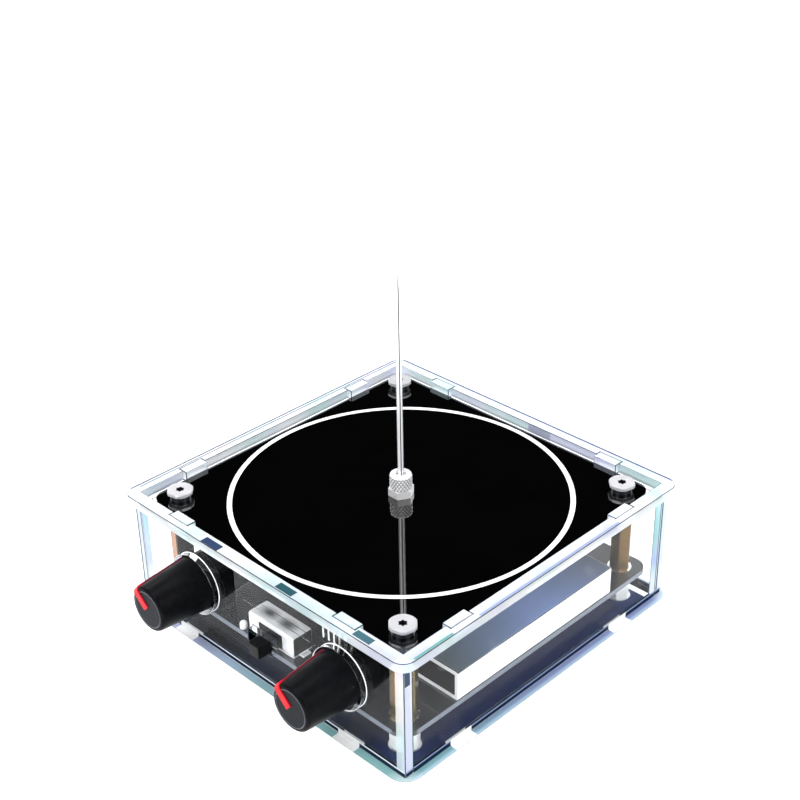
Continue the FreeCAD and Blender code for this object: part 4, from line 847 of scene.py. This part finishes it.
def flatRing(name, outside, inside, thick, level, steps, spot=(0, 0)):
    clearSelection()
    bpy.ops.mesh.primitive_circle_add(vertices=steps, radius=outside, fill_type="NGON",
                                      location=(spot[0], spot[1], level))
    piece = beginPiece(name)
    bpy.ops.object.mode_set(mode="EDIT")
    bpy.ops.mesh.select_all(action="SELECT")
    bpy.ops.mesh.inset(thickness=outside - inside)
    bpy.ops.mesh.delete(type="FACE")
    bpy.ops.mesh.select_all(action="SELECT")
    bpy.ops.mesh.extrude_region_move(TRANSFORM_OT_translate={"value": (0, 0, thick)})
    bpy.ops.mesh.select_all(action="SELECT")
    bpy.ops.mesh.normals_make_consistent(inside=False)
    bpy.ops.object.mode_set(mode="OBJECT")
    return piece


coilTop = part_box("coil_board")[1].z
printedRing = flatRing("printed_ring", ringPrint["outside"], ringPrint["inside"], ringPrint["thick"],
                       coilTop, ringPrint["steps"])
endPiece(printedRing, "print_white", "case", smooth=30)

# solder-tinned rings round the columns, on the driver board

padRing = {"outside": 3.6 * mm, "inside": 2.9 * mm, "thick": 0.06 * mm, "steps": 48, "column": 45.4 * mm}
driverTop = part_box("driver_board")[1].z
firstPad = flatRing("column_ring_1", padRing["outside"], padRing["inside"], padRing["thick"],
                    driverTop, padRing["steps"], (padRing["column"], padRing["column"]))
padTurns = [firstPad]
for step in (1, 2, 3):
    clearSelection()
    copied = firstPad.copy()
    copied.data = firstPad.data.copy()
    copied.name = f"column_ring_{step + 1}"
    bpy.context.collection.objects.link(copied)
    turn = Matrix.Rotation(math.radians(90 * step), 4, "Z")
    copied.matrix_world = turn @ firstPad.matrix_world
    padTurns.append(copied)
for pad in padTurns:
    clearSelection()
    pad.select_set(True)
    bpy.context.view_layer.objects.active = pad
    endPiece(pad, "tinned_pin", "case", smooth=30)
print("printed ring and column rings made")

# knurled collet cap

capKnurl = {"columns": 40, "rows": 5, "depth": 0.22 * mm, "bevel": 0.3 * mm, "mouth": 1.55 * mm,
            "crown": 0.75 * mm, "shoulder": 0.28 * mm, "shoulderShare": 0.6,
            "roof": 0.8 * mm, "inside": 2.36 * mm, "merge": 0.005 * mm,
            "valleySlack": 0.02 * mm, "bandSlack": 0.4 * mm}


def knurledCap():
    low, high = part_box("collet_cap")
    radius = (high.x - low.x) / 2
    height = high.z - low.z
    crown = capKnurl["crown"]
    band = height - capKnurl["bevel"] - crown
    clearSelection()
    bpy.ops.mesh.primitive_circle_add(vertices=capKnurl["columns"], radius=capKnurl["inside"],
                                      fill_type="NOTHING", location=(0, 0, low.z))
    piece = beginPiece("knurled_cap")
    bpy.ops.object.mode_set(mode="EDIT")
    bpy.ops.mesh.select_all(action="SELECT")

    def ringTo(fromRadius, toRadius, rise):
        scale = toRadius / fromRadius
        bpy.ops.mesh.extrude_region_move(TRANSFORM_OT_translate={"value": (0, 0, rise)})
        bpy.ops.transform.resize(value=(scale, scale, 1), center_override=(0, 0, 0))

    inner = radius - capKnurl["bevel"]
    ringTo(capKnurl["inside"], inner, 0)
    ringTo(inner, radius, capKnurl["bevel"])
    for step in range(capKnurl["rows"]):
        ringTo(radius, radius, band / capKnurl["rows"])
    shoulder = radius - capKnurl["shoulder"]
    ringTo(radius, shoulder, crown * capKnurl["shoulderShare"])
    ringTo(shoulder, radius - crown, crown * (1 - capKnurl["shoulderShare"]))
    ringTo(radius - crown, capKnurl["mouth"], 0)
    ringTo(capKnurl["mouth"], capKnurl["mouth"], -capKnurl["roof"])
    ringTo(capKnurl["mouth"], capKnurl["inside"], 0)
    ringTo(capKnurl["inside"], capKnurl["inside"], capKnurl["roof"] - height)
    bpy.ops.mesh.select_all(action="SELECT")
    bpy.ops.mesh.remove_doubles(threshold=capKnurl["merge"])
    bpy.ops.mesh.normals_make_consistent(inside=False)
    turnStep = 2 * math.pi / capKnurl["columns"]
    rowStep = band / capKnurl["rows"]
    bandFoot = capKnurl["bevel"]

    def isValley(spot):
        if math.hypot(spot.x, spot.y) < radius - capKnurl["valleySlack"]:
            return False
        column = round(math.atan2(spot.y, spot.x) / turnStep)
        row = round((spot.z - bandFoot) / rowStep)
        return (column + row) % 2 == 1

    def onBand(centre):
        outside = math.hypot(centre.x, centre.y) > radius - capKnurl["bandSlack"]
        return outside and bandFoot < centre.z < bandFoot + band

    selectWhere(piece, isValley, "VERT")
    scale = (radius - capKnurl["depth"]) / radius
    bpy.ops.transform.resize(value=(scale, scale, 1), center_override=(0, 0, 0))
    selectWhere(piece, onBand)
    bpy.ops.mesh.quads_convert_to_tris(quad_method="SHORTEST_DIAGONAL")
    return piece


cap = knurledCap()
endPiece(cap, "knurled_steel", "collet", smooth=12)
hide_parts("collet_cap")
print("knurled cap made")

# floor, world, lights and camera

studio = {"floorSize": 8.0, "floorDrop": 0.15 * mm, "floorColour": (0.82, 0.82, 0.82), "floorRough": 0.9,
          "floorLift": 0.42, "worldFill": 0.6, "glossDark": 0.004, "glossSpan": (0.10, 0.36),
          "lampAim": 30 * mm}
clearSelection()
bpy.ops.mesh.primitive_plane_add(size=studio["floorSize"], location=(0, 0, -studio["floorDrop"]))
floor = beginPiece("floor")
floorMaterial, tree, shader = startMaterial("floor_white")
paths = addNode(tree, "ShaderNodeLightPath")
seen = mathNode(tree, "MAXIMUM", paths.outputs["Is Camera Ray"], paths.outputs["Is Transmission Ray"])
seen = mathNode(tree, "MAXIMUM", seen, paths.outputs["Is Glossy Ray"])
shader.inputs["Base Color"].default_value = (*studio["floorColour"], 1.0)
shader.inputs["Roughness"].default_value = studio["floorRough"]
shader.inputs["Specular IOR Level"].default_value = 0.0
shader.inputs["Emission Color"].default_value = (1, 1, 1, 1)
tree.links.new(both(tree, seen, studio["floorLift"]), shader.inputs["Emission Strength"])
floor.data.materials.append(floorMaterial)

world = bpy.data.worlds.new("studio")
bpy.context.scene.world = world
world.use_nodes = True
tree = world.node_tree
background = tree.nodes["Background"]
paths = addNode(tree, "ShaderNodeLightPath")
direction = addNode(tree, "ShaderNodeTexCoord").outputs["Generated"]
rise = axisOf(tree, direction, "Z")
gloss = rangeOf(tree, rise, 1.0, studio["glossDark"], *studio["glossSpan"])  # dark overhead
shown = mathNode(tree, "MAXIMUM", paths.outputs["Is Camera Ray"], paths.outputs["Is Transmission Ray"])
inGlass = mathNode(tree, "GREATER_THAN", paths.outputs["Transmission Depth"], 0.5)
isGloss = paths.outputs["Is Glossy Ray"]
shown = mathNode(tree, "MAXIMUM", shown, both(tree, inGlass, isGloss))
rest = mathNode(tree, "SUBTRACT", 1.0, mathNode(tree, "MAXIMUM", shown, isGloss))
total = mathNode(tree, "ADD", both(tree, isGloss, gloss), both(tree, rest, studio["worldFill"]))
total = mathNode(tree, "MAXIMUM", total, shown)
background.inputs["Color"].default_value = (1, 1, 1, 1)
tree.links.new(total, background.inputs["Strength"])

lamps = (
    {"name": "key", "spot": (-0.10, -0.75, 0.85), "size": 0.55, "power": 5.0},
    {"name": "side", "spot": (0.80, 0.05, 0.60), "size": 0.5, "power": 2.6},
    {"name": "top", "spot": (-0.05, 0.05, 1.1), "size": 0.7, "power": 5.0},
    {"name": "left_rim", "spot": (-0.72, 0.08, 0.62), "size": 0.36, "power": 2.6},
    {"name": "right_rim", "spot": (-0.08, 0.72, 0.62), "size": 0.36, "power": 2.6},
)
for lamp in lamps:
    clearSelection()
    bpy.ops.object.light_add(type="AREA", location=lamp["spot"])
    light = bpy.context.object
    light.name = f"{lamp['name']}_light"
    light.data.shape = "SQUARE"
    light.data.size = lamp["size"]
    light.data.energy = lamp["power"]
    toward = Vector((0, 0, studio["lampAim"])) - Vector(lamp["spot"])
    light.rotation_euler = toward.to_track_quat("-Z", "Y").to_euler()

view = {"spot": (0.25909, -0.25785, 0.27790), "azimuth": 45.114, "elevation": 29.463, "roll": -1.010,
        "lens": 67.21, "film": 36.0, "nearest": 0.01}
clearSelection()
bpy.ops.object.camera_add(location=view["spot"])
camera = bpy.context.object
camera.data.lens = view["lens"]
camera.data.sensor_width = view["film"]
camera.data.clip_start = view["nearest"]
azimuth, elevation, roll = (math.radians(view[word]) for word in ("azimuth", "elevation", "roll"))
outward = Vector((math.cos(elevation) * math.sin(azimuth), -math.cos(elevation) * math.cos(azimuth),
                  math.sin(elevation)))
level = (-outward).cross(Vector((0, 0, 1))).normalized()
above = level.cross(-outward)
right = math.cos(roll) * level + math.sin(roll) * above
upward = math.cos(roll) * above - math.sin(roll) * level
camera.rotation_euler = Matrix((right, upward, outward)).transposed().to_euler()
bpy.context.scene.camera = camera
bpy.context.scene.view_settings.view_transform = "Standard"
print("studio ready")
